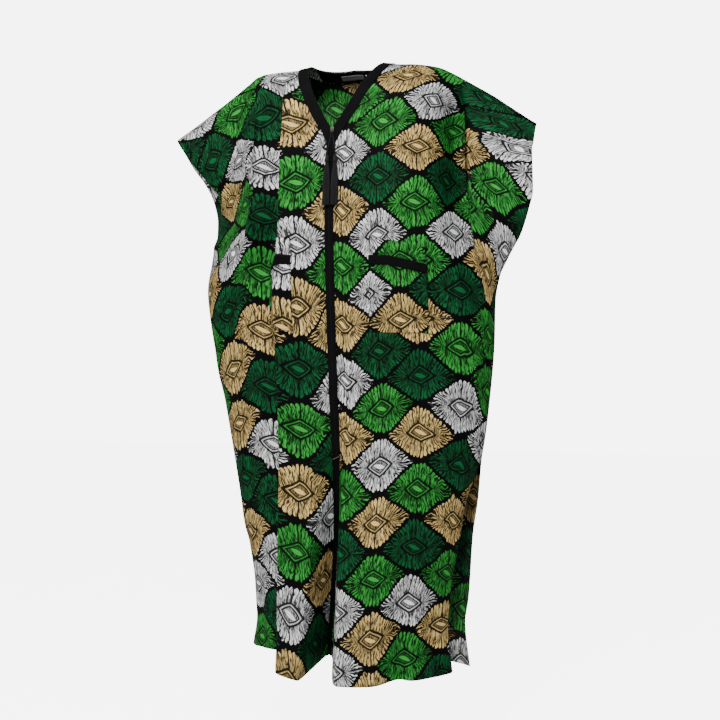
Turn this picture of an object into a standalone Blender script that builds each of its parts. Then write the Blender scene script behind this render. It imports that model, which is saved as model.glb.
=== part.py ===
"""Full-length robe with cut-on sleeves, a zipped front and two patch pockets, filled out as if worn.

Metres, +Z up. The origin lies between the wearer's shoulders, the front faces -Y and the wearer's left is +X.
Every cloth panel is a thin wall on a lattice. Its columns run down from the shoulder line to the hem and its
rows run across, and a table of sections, of side lines and of folds says how far each point hangs in front of
the wearer's middle plane or behind it. Trims are made from the lattice points of the panel that they lie on.
"""

import math
from bisect import bisect_right

import bmesh
import bpy
from mathutils import Matrix, Vector

CLOTH = 0.002
TAPE = 0.0015
GAP = 0.0003
NECK_HALF = 0.09
V_DEPTH = 0.1656
LENGTH = 1.415
BINDING_WIDTH = 0.025
BAND_HALF = 0.0105
BACK_NECK_DROP = 0.008

# The V's sides are a little hollow, and its binding is this much wider on the slant than on the level shoulder.
NECK_CURVE = 0.85
BINDING_SLANT = 1.14
BINDING_SLANT_DOWN = 0.03

ROBE_BLACK = (0.012, 0.012, 0.013)
PRINT_GREEN = (0.03, 0.13, 0.05)
METAL = (0.62, 0.58, 0.50)
LABEL_GREY = (0.16, 0.16, 0.16)
TAB_WHITE = (0.55, 0.55, 0.53)


def smooth(t):
    """0 to 1, level at both ends."""
    t = min(max(t, 0.0), 1.0)
    return t * t * (3 - 2 * t)


def slopes(xs, ys):
    """Slopes of a curve through the rows that never overshoots them."""
    steps = [(b - a) / (x1 - x0) for a, b, x0, x1 in zip(ys, ys[1:], xs, xs[1:])]
    inner = [0.0 if a * b <= 0 else 2 * a * b / (a + b) for a, b in zip(steps, steps[1:])]
    return [steps[0]] + inner + [steps[-1]]


class Table:
    """Rows of named columns, read at any value of the first column on a smooth curve."""

    def __init__(self, columns, rows):
        self.at = [row[0] for row in rows]
        self.curves = {}
        for k, column in enumerate(columns[1:], start=1):
            values = [row[k] for row in rows]
            self.curves[column] = (values, slopes(self.at, values))

    def read(self, column, at):
        values, slope = self.curves[column]
        at = min(max(at, self.at[0]), self.at[-1])
        k = min(bisect_right(self.at, at), len(self.at) - 1) - 1
        step = self.at[k + 1] - self.at[k]
        t = (at - self.at[k]) / step
        rise = values[k + 1] - values[k]
        start = slope[k] * step
        end = slope[k + 1] * step
        return values[k] + t * (start + t * ((3 * rise - 2 * start - end) + t * (start + end - 2 * rise)))


# The shoulder line: how far down it lies, at a distance out from the neck's middle.
SHOULDER = Table(
    ("out", "left", "right"),
    (
        (0.0000, -0.0100, -0.0100),
        (0.0900, -0.0015, -0.0045),
        (0.1265, 0.0030, 0.0000),
        (0.1570, 0.0050, 0.0005),
        (0.1880, 0.0095, 0.0015),
        (0.2200, 0.0170, 0.0050),
        (0.2500, 0.0315, 0.0235),
        (0.2830, 0.0510, 0.0452),
        (0.3150, 0.0705, 0.0665),
        (0.3470, 0.0905, 0.0853),
        (0.3790, 0.1130, 0.1055),
        (0.4116, 0.1360, 0.1246),
        (0.4446, 0.1580, 0.1435),
        (0.4526, 0.1620, 0.1490),
    ),
)

# Side lines: the sleeve's hem down to its corner, then the side seam, then the two edges of the slit.
SIDE_COLUMNS = ("down", "front_out", "front_y", "back_out", "back_y")
SIDE_LINES = {
    "left": Table(
        SIDE_COLUMNS,
        (
            (0.1580, 0.4446, 0.000, 0.4446, 0.000),
            (0.190, 0.4420, -0.030, 0.433, 0.030),
            (0.225, 0.4425, -0.045, 0.423, 0.045),
            (0.275, 0.4450, -0.052, 0.420, 0.054),
            (0.315, 0.4465, -0.056, 0.420, 0.056),
            (0.354, 0.4361, -0.048, 0.414, 0.050),
            (0.394, 0.4190, -0.026, 0.406, 0.034),
            (0.418, 0.403, 0.000, 0.403, 0.000),
            (0.459, 0.380, 0.000, 0.380, 0.000),
            (0.502, 0.360, 0.000, 0.360, 0.000),
            (0.556, 0.350, 0.000, 0.350, 0.000),
            (0.650, 0.347, 0.004, 0.347, 0.004),
            (0.790, 0.334, 0.010, 0.334, 0.010),
            (0.911, 0.316, 0.014, 0.316, 0.014),
            (1.020, 0.280, 0.008, 0.301, 0.038),
            (1.100, 0.266, 0.006, 0.288, 0.045),
            (1.250, 0.242, 0.004, 0.276, 0.052),
            (1.310, 0.238, 0.002, 0.267, 0.056),
            (1.415, 0.250, 0.000, 0.2765, 0.064),
        ),
    ),
    "right": Table(
        SIDE_COLUMNS,
        (
            (0.149, 0.4526, 0.000, 0.4526, 0.000),
            (0.175, 0.428, -0.022, 0.446, 0.028),
            (0.212, 0.399, -0.030, 0.432, 0.050),
            (0.250, 0.370, -0.015, 0.410, 0.072),
            (0.295, 0.343, 0.010, 0.392, 0.086),
            (0.345, 0.352, 0.050, 0.386, 0.096),
            (0.395, 0.378, 0.078, 0.388, 0.096),
            (0.4125, 0.389, 0.088, 0.389, 0.088),
            (0.450, 0.386, 0.070, 0.386, 0.070),
            (0.483, 0.385, 0.055, 0.385, 0.055),
            (0.520, 0.381, 0.040, 0.381, 0.040),
            (0.557, 0.374, 0.033, 0.374, 0.033),
            (0.630, 0.363, 0.030, 0.363, 0.030),
            (0.790, 0.332, 0.030, 0.332, 0.030),
            (0.902, 0.315, 0.035, 0.315, 0.035),
            (1.020, 0.297, 0.036, 0.297, 0.060),
            (1.100, 0.287, 0.040, 0.287, 0.076),
            (1.145, 0.276, 0.043, 0.279, 0.084),
            (1.250, 0.264, 0.050, 0.272, 0.100),
            (1.320, 0.263, 0.060, 0.273, 0.112),
            (1.400, 0.279, 0.075, 0.283, 0.125),
        ),
    ),
}

# The side seams run from the sleeve's corner to the top of the slit.
SEAM = {"left": (0.418, 0.911), "right": (0.4125, 0.902)}

# Sections: how far front and back hang from the middle plane at the body, where the body's width gives
# way to the arm's, and the two powers that round the section off towards its side line.
SECTIONS = Table(
    ("down", "front", "back", "body_in", "body_out", "power", "root"),
    (
        (0.000, 0.088, 0.095, 0.10, 0.26, 3.0, 0.70),
        (0.050, 0.102, 0.108, 0.12, 0.27, 3.0, 0.70),
        (0.100, 0.115, 0.118, 0.14, 0.28, 3.0, 0.70),
        (0.166, 0.128, 0.126, 0.15, 0.29, 3.0, 0.70),
        (0.250, 0.141, 0.130, 0.17, 0.31, 3.0, 0.65),
        (0.377, 0.149, 0.130, 0.20, 0.34, 3.0, 0.60),
        (0.500, 0.143, 0.128, 0.30, 0.44, 2.8, 0.55),
        (0.647, 0.131, 0.124, 0.42, 0.60, 2.7, 0.55),
        (0.760, 0.119, 0.122, 0.50, 0.70, 2.6, 0.55),
        (0.900, 0.112, 0.124, 0.50, 0.70, 2.4, 0.58),
        (1.060, 0.128, 0.130, 0.50, 0.70, 2.2, 0.65),
        (1.250, 0.160, 0.142, 0.50, 0.70, 2.1, 0.72),
        (1.415, 0.192, 0.156, 0.50, 0.70, 2.0, 0.80),
    ),
)
ARM_DEPTH = 0.056

# How far down each face takes to turn over the shoulder line: near the neck, and how much less over the arms.
CREST_RUN = {"front": (0.100, 0.045), "back": (0.070, 0.015)}
CREST_ARM_START = 0.12
CREST_ARM_RUN = 0.12

# Folds: the bottom of each trough, how deep it is, and how far its walls run towards -X and +X.
FOLD_COLUMNS = ("down", "x", "depth", "run_minus", "run_plus")
FRONT_FOLDS = {
    "under_left_sleeve": Table(
        FOLD_COLUMNS,
        (
            (0.03, 0.262, 0.000, 0.070, 0.030),
            (0.10, 0.270, 0.040, 0.060, 0.016),
            (0.20, 0.274, 0.056, 0.056, 0.014),
            (0.27, 0.280, 0.056, 0.056, 0.014),
            (0.39, 0.297, 0.052, 0.052, 0.013),
            (0.49, 0.318, 0.036, 0.046, 0.013),
            (0.60, 0.334, 0.000, 0.040, 0.013),
        ),
    ),
    "beside_right_front": Table(
        FOLD_COLUMNS,
        (
            (0.02, -0.146, 0.000, 0.066, 0.014),
            (0.08, -0.140, 0.040, 0.067, 0.014),
            (0.20, -0.139, 0.062, 0.068, 0.014),
            (0.34, -0.140, 0.064, 0.068, 0.015),
            (0.42, -0.149, 0.062, 0.090, 0.022),
            (0.50, -0.174, 0.064, 0.140, 0.040),
            (0.62, -0.178, 0.064, 0.200, 0.040),
            (0.70, -0.163, 0.062, 0.230, 0.022),
            (0.80, -0.158, 0.064, 0.240, 0.016),
            (1.10, -0.156, 0.088, 0.260, 0.015),
            (1.415, -0.150, 0.125, 0.280, 0.016),
        ),
    ),
    "centre_front": Table(
        FOLD_COLUMNS,
        (
            (0.78, 0.000, 0.000, 0.050, 0.045),
            (0.90, -0.002, 0.020, 0.046, 0.040),
            (1.00, -0.008, 0.050, 0.042, 0.032),
            (1.10, -0.016, 0.084, 0.036, 0.038),
            (1.25, -0.031, 0.125, 0.028, 0.058),
            (1.415, -0.045, 0.160, 0.019, 0.078),
        ),
    ),
    "left_hem": Table(
        FOLD_COLUMNS,
        (
            (1.00, 0.160, 0.000, 0.040, 0.035),
            (1.20, 0.157, 0.014, 0.040, 0.035),
            (1.415, 0.152, 0.034, 0.036, 0.032),
        ),
    ),
    "right_sleeve_ridge": Table(
        FOLD_COLUMNS,
        (
            (0.05, -0.212, 0.000, 0.060, 0.012),
            (0.15, -0.210, -0.010, 0.060, 0.012),
            (0.32, -0.208, -0.013, 0.055, 0.012),
            (0.42, -0.206, -0.008, 0.050, 0.012),
            (0.46, -0.206, 0.000, 0.050, 0.012),
        ),
    ),
}
BACK_FOLDS = {
    "under_left_sleeve": Table(
        FOLD_COLUMNS,
        (
            (0.04, 0.245, 0.000, 0.060, 0.030),
            (0.16, 0.250, 0.034, 0.060, 0.030),
            (0.32, 0.264, 0.042, 0.060, 0.030),
            (0.45, 0.285, 0.026, 0.055, 0.030),
            (0.60, 0.300, 0.000, 0.050, 0.030),
        ),
    ),
    "under_right_sleeve": Table(
        FOLD_COLUMNS,
        (
            (0.04, -0.240, 0.000, 0.034, 0.060),
            (0.16, -0.248, 0.030, 0.034, 0.060),
            (0.32, -0.262, 0.040, 0.034, 0.060),
            (0.45, -0.284, 0.022, 0.034, 0.055),
            (0.60, -0.300, 0.000, 0.034, 0.050),
        ),
    ),
    "left_of_middle": Table(
        FOLD_COLUMNS,
        (
            (0.38, 0.060, 0.000, 0.055, 0.040),
            (0.60, 0.075, 0.020, 0.055, 0.040),
            (0.90, 0.085, 0.038, 0.050, 0.036),
            (1.20, 0.095, 0.056, 0.048, 0.032),
            (1.415, 0.100, 0.070, 0.046, 0.030),
        ),
    ),
    "right_of_middle": Table(
        FOLD_COLUMNS,
        (
            (0.48, -0.040, 0.000, 0.035, 0.055),
            (0.80, -0.060, 0.026, 0.035, 0.050),
            (1.10, -0.072, 0.042, 0.034, 0.048),
            (1.415, -0.085, 0.060, 0.032, 0.046),
        ),
    ),
    "right_hem": Table(
        FOLD_COLUMNS,
        (
            (0.80, -0.170, 0.000, 0.040, 0.040),
            (1.10, -0.178, 0.020, 0.040, 0.036),
            (1.415, -0.186, 0.046, 0.038, 0.034),
        ),
    ),
}

# Hems: how far down they hang, along X. A hem rides up a little inside its folds.
FRONT_HEM = Table(
    ("x", "down"),
    (
        (-0.282, 1.400),
        (-0.220, 1.393),
        (-0.150, 1.390),
        (-0.132, 1.413),
        (-0.064, 1.415),
        (-0.045, 1.388),
        (-0.010, 1.402),
        (0.035, 1.418),
        (0.100, 1.419),
        (0.152, 1.412),
        (0.200, 1.415),
        (0.250, 1.415),
    ),
)
BACK_HEM = Table(
    ("x", "down"),
    (
        (-0.285, 1.400),
        (-0.186, 1.408),
        (-0.085, 1.406),
        (0.010, 1.416),
        (0.100, 1.406),
        (0.200, 1.416),
        (0.2765, 1.415),
    ),
)

# Stations: named lines down each panel, out from the middle. The columns of the lattice are spread between them.
STATIONS = {
    "left": Table(
        ("down", "ridge", "pocket_in", "pocket_out", "valley", "sleeve"),
        (
            (0.000, 0.132, 0.158, 0.215, 0.262, 0.276),
            (0.060, 0.108, 0.140, 0.215, 0.266, 0.281),
            (0.120, 0.078, 0.116, 0.217, 0.271, 0.286),
            (0.166, 0.058, 0.100, 0.218, 0.273, 0.288),
            (0.250, 0.044, 0.092, 0.220, 0.278, 0.292),
            (0.390, 0.042, 0.092, 0.222, 0.297, 0.311),
            (0.490, 0.042, 0.092, 0.222, 0.312, 0.330),
            (0.600, 0.042, 0.092, 0.222, 0.305, 0.328),
            (0.800, 0.042, 0.092, 0.208, 0.275, 0.306),
            (1.000, 0.026, 0.085, 0.180, 0.235, 0.260),
            (1.250, 0.028, 0.080, 0.155, 0.198, 0.220),
            (1.415, 0.036, 0.084, 0.150, 0.194, 0.222),
        ),
    ),
    "right": Table(
        ("down", "ridge", "pocket_in", "edge", "foot", "sleeve"),
        (
            (0.000, 0.121, 0.127, 0.134, 0.148, 0.214),
            (0.060, 0.100, 0.112, 0.127, 0.141, 0.212),
            (0.120, 0.078, 0.102, 0.125, 0.139, 0.209),
            (0.166, 0.060, 0.098, 0.125, 0.139, 0.208),
            (0.250, 0.052, 0.095, 0.125, 0.139, 0.208),
            (0.390, 0.050, 0.095, 0.127, 0.144, 0.207),
            (0.450, 0.050, 0.095, 0.131, 0.158, 0.215),
            (0.500, 0.050, 0.095, 0.134, 0.174, 0.236),
            (0.620, 0.050, 0.095, 0.138, 0.178, 0.246),
            (0.700, 0.050, 0.095, 0.141, 0.163, 0.235),
            (0.800, 0.050, 0.095, 0.142, 0.158, 0.226),
            (1.100, 0.054, 0.095, 0.141, 0.156, 0.214),
            (1.415, 0.066, 0.095, 0.134, 0.150, 0.206),
        ),
    ),
    "back": Table(
        ("down", "neck", "tape", "valley", "sleeve"),
        (
            (0.000, 0.090, 0.115, 0.238, 0.268),
            (0.050, 0.090, 0.115, 0.242, 0.272),
            (0.200, 0.086, 0.125, 0.252, 0.282),
            (0.400, 0.085, 0.140, 0.276, 0.306),
            (0.600, 0.085, 0.150, 0.272, 0.310),
            (0.900, 0.085, 0.150, 0.232, 0.270),
            (1.250, 0.082, 0.142, 0.192, 0.222),
            (1.415, 0.082, 0.142, 0.192, 0.226),
        ),
    ),
}
COLUMNS = {
    "left": (("binding", 2), ("ridge", 4), ("pocket_in", 2), ("pocket_out", 5), ("valley", 3), ("sleeve", 2), ("side", 5)),
    "right": (("binding", 2), ("ridge", 3), ("pocket_in", 2), ("edge", 2), ("foot", 3), ("sleeve", 4), ("side", 6)),
    "back": (("neck", 5), ("tape", 2), ("valley", 4), ("sleeve", 2), ("side", 4)),
}

# Rows: the share of the way from the shoulder line to the hem at each named row, and the rows up to it.
CREST_SHARE = 0.075
CREST_ROWS = 6
ROWS = (
    ("v_point", V_DEPTH / LENGTH, 1),
    ("binding_end", 0.139, 1),
    ("sleeve_corner", 0.209, 2),
    ("pocket_top", 0.292, 2),
    ("pocket_bottom", 0.4415, 4),
    ("slit_top", 0.600, 3),
    ("hem", 1.000, 8),
)


def row_shares():
    """Share of each row, and the number of each named row."""
    shares = [CREST_SHARE * (1 - math.cos(math.pi / 2 * k / CREST_ROWS)) for k in range(CREST_ROWS + 1)]
    named = {}
    for name, end, count in ROWS:
        start = shares[-1]
        shares += [start + (end - start) * k / count for k in range(1, count + 1)]
        named[name] = len(shares) - 1
    return shares, named


SHARES, ROW = row_shares()


def column_numbers(panel):
    """Number of the lattice column on each named station."""
    numbers = {"inner": 0}
    total = 0
    for name, count in COLUMNS[panel]:
        total += count
        numbers[name] = total
    return numbers


def side_of(x):
    return "left" if x >= 0 else "right"


def side_line(side, face, down):
    """Distance out and depth of the side line of the front or the back. Along the seam they are one line."""
    seam_top, seam_end = SEAM[side]
    line = SIDE_LINES[side]
    if seam_top <= down <= seam_end:
        face = "front"
    return line.read(face + "_out", down), line.read(face + "_y", down)


def crest(x):
    """How far down the shoulder line lies."""
    return SHOULDER.read(side_of(x), abs(x))


def fold_depth(folds, x, down):
    """Sum of the troughs at a point."""
    total = 0.0
    for fold in folds.values():
        away = x - fold.read("x", down)
        run = fold.read("run_plus" if away > 0 else "run_minus", down)
        if abs(away) < run:
            total += fold.read("depth", down) * (1 - smooth(abs(away) / run))
    return total


def crest_run(face, out):
    """How far down a face has turned over the shoulder line, at a distance out."""
    near, less = CREST_RUN[face]
    return near - less * smooth((out - CREST_ARM_START) / CREST_ARM_RUN)


def hang(x, down, face, folds):
    """Depth in front of the middle plane, or behind it, of one face of the robe."""
    edge_out, edge_y = side_line(side_of(x), face, down)
    edge_y = -edge_y if face == "front" else edge_y
    across = min(abs(x) / edge_out, 1.0)
    start = SECTIONS.read("body_in", down)
    arm = smooth((abs(x) - start) / (SECTIONS.read("body_out", down) - start))
    body = SECTIONS.read(face, down)
    round_off = (1 - across ** SECTIONS.read("power", down)) ** SECTIONS.read("root", down)
    depth = edge_y + (body + (ARM_DEPTH - body) * arm - edge_y - fold_depth(folds, x, down)) * round_off
    over = min(max((down - crest(x)) / crest_run(face, abs(x)), 0.0), 1.0)
    return depth * math.sqrt(1 - (1 - over) ** 2)


def front_point(x, down):
    return Vector((x, -hang(x, down, "front", FRONT_FOLDS), -down))


def back_point(x, down):
    return Vector((x, hang(x, down, "back", BACK_FOLDS), -down))


def centre_x(down):
    """The centre front edge follows the bottom of the centre fold."""
    return FRONT_FOLDS["centre_front"].read("x", down)


def neckline_out(down):
    """Half width of the neck opening of the fronts."""
    return NECK_HALF * (1 - min(max(down / V_DEPTH, 0.0), 1.0)) ** NECK_CURVE


WALK_STEP = 0.0005


def walk(sign, down, reach):
    """How far out a point lies that is this far along the front from its centre edge."""
    x = centre_x(down)
    here = front_point(x, down)
    while reach > 0:
        x += sign * WALK_STEP
        there = front_point(x, down)
        reach -= (there - here).length
        here = there
    return abs(x - centre_x(down))


# How much closer the columns stand at the side line, where the cloth turns round the body.
SIDE_CLOSING = 1.7


def spread(stops, counts, share):
    """Position of a column between the stops, where the last stretch closes up towards the side."""
    left = share
    for k, count in enumerate(counts):
        if left <= count:
            t = left / count
            if k == len(counts) - 1:
                t = 1 - (1 - t) ** SIDE_CLOSING
            return stops[k] + (stops[k + 1] - stops[k]) * t
        left -= count
    return stops[-1]


def front_column(side, column, down):
    """X of a front's lattice column at a height."""
    sign = 1 if side == "left" else -1
    middle = centre_x(down) * sign
    inner = middle + neckline_out(down)
    leg = BINDING_WIDTH * BINDING_SLANT + NECK_HALF * (1 - down / V_DEPTH)
    if down < V_DEPTH:
        taped = inner + BINDING_WIDTH * (1 + (BINDING_SLANT - 1) * smooth(down / BINDING_SLANT_DOWN))
    else:
        taped = middle + max(leg, walk(sign, down, BAND_HALF))
    stations = [STATIONS[side].read(name, down) for name, _ in COLUMNS[side][1:-1]]
    outer = side_line(side, "front", down)[0]
    counts = [count for _, count in COLUMNS[side]]
    return sign * spread([inner, taped] + stations + [outer], counts, column)


def back_column(column, down):
    """X of the back's lattice column at a height. Columns count out from the middle, negative to the right."""
    side = side_of(column)
    stations = [STATIONS["back"].read(name, down) for name, _ in COLUMNS["back"][:-1]]
    outer = side_line(side, "back", down)[0]
    counts = [count for _, count in COLUMNS["back"]]
    return math.copysign(spread([0.0] + stations + [outer], counts, abs(column)), column)


# A column moves as it runs down, so where it meets the shoulder line is found in this many rounds.
CREST_ROUNDS = 30


def column_top(column_x):
    """How far down a column meets the shoulder line."""
    down = 0.0
    for _ in range(CREST_ROUNDS):
        down = crest(column_x(down))
    return down


def lattice(columns, column_x, point, top, hem):
    """Points of a panel by column and row. The shoulder line and the hem fix where each column starts and ends."""
    rows = {}
    for i in columns:
        start = top(i)
        end = hem(i)
        for j, share in enumerate(SHARES):
            down = start + (end - start) * share
            rows[i, j] = point(column_x(i, down), down)
    return rows


def cross_normals(points, outward):
    """Normal at each lattice point, from its neighbours. A point on the rim takes the ones that it has."""
    normals = {}
    for i, j in points:
        here = points[i, j]
        across = points.get((i + 1, j), here) - points.get((i - 1, j), here)
        along = points.get((i, j + 1), here) - points.get((i, j - 1), here)
        normals[i, j] = across.cross(along).normalized() * outward
    return normals


def seam_normal(points, i, j, sign):
    """Normal on the side line, where front and back meet edge to edge."""
    along = points.get((i, j + 1), points[i, j]) - points.get((i, j - 1), points[i, j])
    normal = along.cross(Vector((0, 1, 0))).normalized()
    return normal if normal.x * sign > 0 else -normal


CREST_STEP = 0.002


def crest_normal(x):
    """Normal on the shoulder line, square to it."""
    rise = crest(x + math.copysign(CREST_STEP, x)) - crest(x)
    return Vector((math.copysign(rise / CREST_STEP, x), 0, 1)).normalized()


def front_lattice(side):
    sign = 1 if side == "left" else -1
    last = column_numbers(side)["side"]
    lowest = SIDE_LINES[side].at[-1]
    hem_x = {i: front_column(side, i, LENGTH) for i in range(last + 1)}

    def top(i):
        return column_top(lambda down: front_column(side, i, down))

    def hem(i):
        return lowest if i == last else FRONT_HEM.read("down", hem_x[i])

    points = lattice(range(last + 1), lambda i, down: front_column(side, i, down), front_point, top, hem)
    normals = cross_normals(points, -sign)
    for (i, j), point in points.items():
        if i == 0 and j >= ROW["v_point"]:
            along = points.get((0, j + 1), point) - points.get((0, j - 1), point)
            normals[i, j] = Vector((0, along.z, -along.y)).normalized()
            point.x += sign * GAP / 2
        if i == last and ROW["sleeve_corner"] <= j <= ROW["slit_top"]:
            normals[i, j] = seam_normal(points, i, j, sign)
            point.y -= GAP / 2
        if j == 0:
            normals[i, j] = crest_normal(point.x)
            point.y -= GAP / 2
    return points, normals


def back_lattice():
    last = column_numbers("back")["side"]
    numbers = range(-last, last + 1)
    hem_x = {i: back_column(i, LENGTH) for i in numbers}

    def top(i):
        out = abs(back_column(i, 0.0)) / NECK_HALF
        if out < 1:
            return crest(back_column(i, 0.0)) + BACK_NECK_DROP * (1 - out**3)
        return column_top(lambda down: back_column(i, down))

    def hem(i):
        if abs(i) == last:
            return SIDE_LINES[side_of(i)].at[-1]
        return BACK_HEM.read("down", hem_x[i])

    points = lattice(numbers, back_column, back_point, top, hem)
    normals = cross_normals(points, 1)
    neck = column_numbers("back")["neck"]
    for (i, j), point in points.items():
        sign = 1 if i > 0 else -1
        if abs(i) == last and ROW["sleeve_corner"] <= j <= ROW["slit_top"]:
            normals[i, j] = seam_normal(points, i, j, sign)
            point.y += GAP / 2
        if j == 0 and abs(i) >= neck:
            normals[i, j] = crest_normal(point.x)
            point.y += GAP / 2
    return points, normals


def material(name, colour, roughness, metallic=0.0):
    made = bpy.data.materials.new(name)
    made.use_nodes = True
    shader = made.node_tree.nodes["Principled BSDF"]
    shader.inputs["Base Color"].default_value = (*colour, 1.0)
    shader.inputs["Roughness"].default_value = roughness
    shader.inputs["Metallic"].default_value = metallic
    return made


def add_object(name, mesh, look):
    mesh.materials.append(look)
    made = bpy.data.objects.new(name, mesh)
    bpy.context.scene.collection.objects.link(made)
    return made


def cells(columns, rows):
    """The four corners of each lattice cell between two columns and two rows."""
    found = []
    for i in range(*columns):
        for j in range(*rows):
            found.append([(i, j), (i, j + 1), (i + 1, j + 1), (i + 1, j)])
    return found


# Edges that turn more sharply than this stay crisp.
CRISP = math.radians(50)


def wall(name, points, normals, quads, look, thickness=CLOTH, lift=0.0):
    """Closed wall round the mid-surface of these cells, moved out by lift."""
    shell = bmesh.new()
    outer = {}
    inner = {}
    for key in dict.fromkeys(corner for quad in quads for corner in quad):
        outer[key] = shell.verts.new(points[key] + normals[key] * (lift + thickness / 2))
        inner[key] = shell.verts.new(points[key] + normals[key] * (lift - thickness / 2))
    edges = {}
    for a, b, c, d in quads:
        for one in ((a, b, c), (a, c, d)):
            shell.faces.new([outer[key] for key in one])
            shell.faces.new([inner[key] for key in reversed(one)])
        for edge in ((a, b), (b, c), (c, d), (d, a)):
            edges.setdefault(frozenset(edge), []).append(edge)
    for uses in edges.values():
        if len(uses) == 1:
            a, b = uses[0]
            shell.faces.new((outer[b], outer[a], inner[a]))
            shell.faces.new((outer[b], inner[a], inner[b]))
    mesh = bpy.data.meshes.new(name)
    bmesh.ops.recalc_face_normals(shell, faces=shell.faces)
    shell.to_mesh(mesh)
    shell.free()
    mesh.shade_smooth()
    mesh.set_sharp_from_angle(angle=CRISP)
    return add_object(name, mesh, look)


def between(points, i, j):
    """Point at a part of a column or a row of a lattice. On the lattice's rim it takes the points that it has."""
    i0, j0 = math.floor(i), math.floor(j)
    corner = points[i0, j0]
    beside = points.get((i0 + 1, j0), corner)
    under = points.get((i0, j0 + 1), corner)
    across = points.get((i0 + 1, j0 + 1), under)
    return corner.lerp(beside, i - i0).lerp(under.lerp(across, i - i0), j - j0)


def patch(name, points, normals, lines, look, thickness, lift):
    """Wall whose lattice lines stand at parts of the panel's cells: lines[i] holds (column, row) places."""
    places = {}
    turned = {}
    for i, line in enumerate(lines):
        for j, (column, row) in enumerate(line):
            places[i, j] = between(points, column, row)
            turned[i, j] = between(normals, column, row).normalized()
    quads = cells((0, len(lines) - 1), (0, len(lines[0]) - 1))
    return wall(name, places, turned, quads, look, thickness, lift)


ON_CLOTH = CLOTH / 2 + GAP + TAPE / 2
POCKET_GAP = 0.0008
ON_POCKET = ON_CLOTH + TAPE + POCKET_GAP
THIN_CLOTH = 0.001
UNDER_CLOTH = -(CLOTH / 2 + GAP + THIN_CLOTH / 2)


# The binding takes this many of the back's rows, down from the neck's edge.
BACK_BINDING_ROWS = 2


def neck_binding(fronts, back):
    """One strip down both necklines of the fronts and round the back neck."""
    points = {}
    normals = {}
    quads = []
    taped = column_numbers("back")["tape"]
    neck = column_numbers("back")["neck"]
    width = column_numbers("left")["binding"]
    for i in range(-taped, taped + 1):
        for j in range(BACK_BINDING_ROWS + 1):
            points["back", i, j] = back[0][i, j]
            normals["back", i, j] = back[1][i, j]
    for quad in cells((-taped, taped), (0, BACK_BINDING_ROWS)):
        quads.append([("back", i, j) for i, j in quad])
    for side, sign in (("left", 1), ("right", -1)):
        front_points, front_normals = fronts[side]

        def key(i, j):
            return (side, i, j) if j else ("back", sign * (neck + i), 0)

        for i in range(width + 1):
            points[key(i, 0)] = Vector((front_points[i, 0].x, 0, front_points[i, 0].z))
            for j in range(1, ROW["binding_end"] + 1):
                points[key(i, j)] = front_points[i, j]
                normals[key(i, j)] = front_normals[i, j]
        for quad in cells((0, width), (0, ROW["binding_end"])):
            quads.append([key(i, j) for i, j in quad])
    return points, normals, quads


# The bands start this part of a row below the end of the binding.
BAND_START = 0.012


def build_bands(fronts, look):
    """A strip down the centre edge of each front, from the end of the neck binding to the hem."""
    for side in ("left", "right"):
        points, normals = fronts[side]
        first = ROW["binding_end"]
        last = ROW["hem"]
        rows = [first + BAND_START] + list(range(first + 1, last + 1))
        width = column_numbers(side)["binding"]
        lines = [[(i, j) for j in rows] for i in range(width + 1)]
        patch(f"front_band_{side}", points, normals, lines, look, TAPE, ON_CLOTH)


# A pocket, in lattice rows from its top: how far its outer corner slants down, and its mouth's band.
POCKET_TOP_SLANT = {"left": 0.40, "right": 0.0}
POCKET_TOP_CURVE = 1.5
MOUTH_AT = 0.74
MOUTH_SLANT = 0.34
MOUTH_LEVEL = 0.35
MOUTH_BAND = 0.40


POCKET_OUTER = {"left": "pocket_out", "right": "foot"}


def build_pockets(fronts, print_look, tape_look):
    """A patch on each front, and the slanted band of its mouth across it."""
    top, bottom = ROW["pocket_top"], ROW["pocket_bottom"]
    for side, outer in POCKET_OUTER.items():
        points, normals = fronts[side]
        first, last = column_numbers(side)["pocket_in"], column_numbers(side)[outer]
        lines = []
        mouth_lines = []
        for i in range(first, last + 1):
            across = (i - first) / (last - first)
            mouth = top + MOUTH_AT + MOUTH_SLANT * max(0.0, (across - MOUTH_LEVEL) / (1 - MOUTH_LEVEL))
            slant = POCKET_TOP_SLANT[side] * across**POCKET_TOP_CURVE
            lines.append([(i, top + slant)] + [(i, j) for j in range(top + 1, bottom + 1)])
            mouth_lines.append([(i, mouth), (i, mouth + MOUTH_BAND)])
        patch(f"pocket_{side}", points, normals, lines, print_look, TAPE, ON_CLOTH)
        patch(f"pocket_band_{side}", points, normals, mouth_lines, tape_look, TAPE, ON_POCKET)


# What is sewn inside the back neck, in lattice columns from the middle and rows from the neck's edge.
TAPE_ROWS = (0.0, 1.0)
LABEL_COLUMNS = (-2, -1, 0, 1, 1.3)
LABEL_ROWS = (1.1, 1.9)
TAB_EDGES = (((1.62, 1.1), (1.70, 2.0), (1.74, 2.25)), ((1.98, 1.1), (2.00, 2.0), (2.06, 2.25)))


def build_back_neck(back, tape_look, grey, white):
    """The inner half of the back neck's binding, with a blank label and a small tab under it."""
    points, normals = back
    neck = column_numbers("back")["neck"]
    tape = [[(i, row) for row in TAPE_ROWS] for i in range(-neck, neck + 1)]
    patch("back_neck_tape", points, normals, tape, tape_look, THIN_CLOTH, UNDER_CLOTH)
    label = [[(i, row) for row in LABEL_ROWS] for i in LABEL_COLUMNS]
    patch("neck_label", points, normals, label, grey, THIN_CLOTH, UNDER_CLOTH)
    patch("size_tab", points, normals, TAB_EDGES, white, THIN_CLOTH, UNDER_CLOTH)


def before_front(x, down, off):
    """Point that stands this far off the binding or band on the centre front."""
    point = front_point(x, down)
    return Vector((x, point.y - CLOTH / 2 - GAP - TAPE - off, -down))


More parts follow.
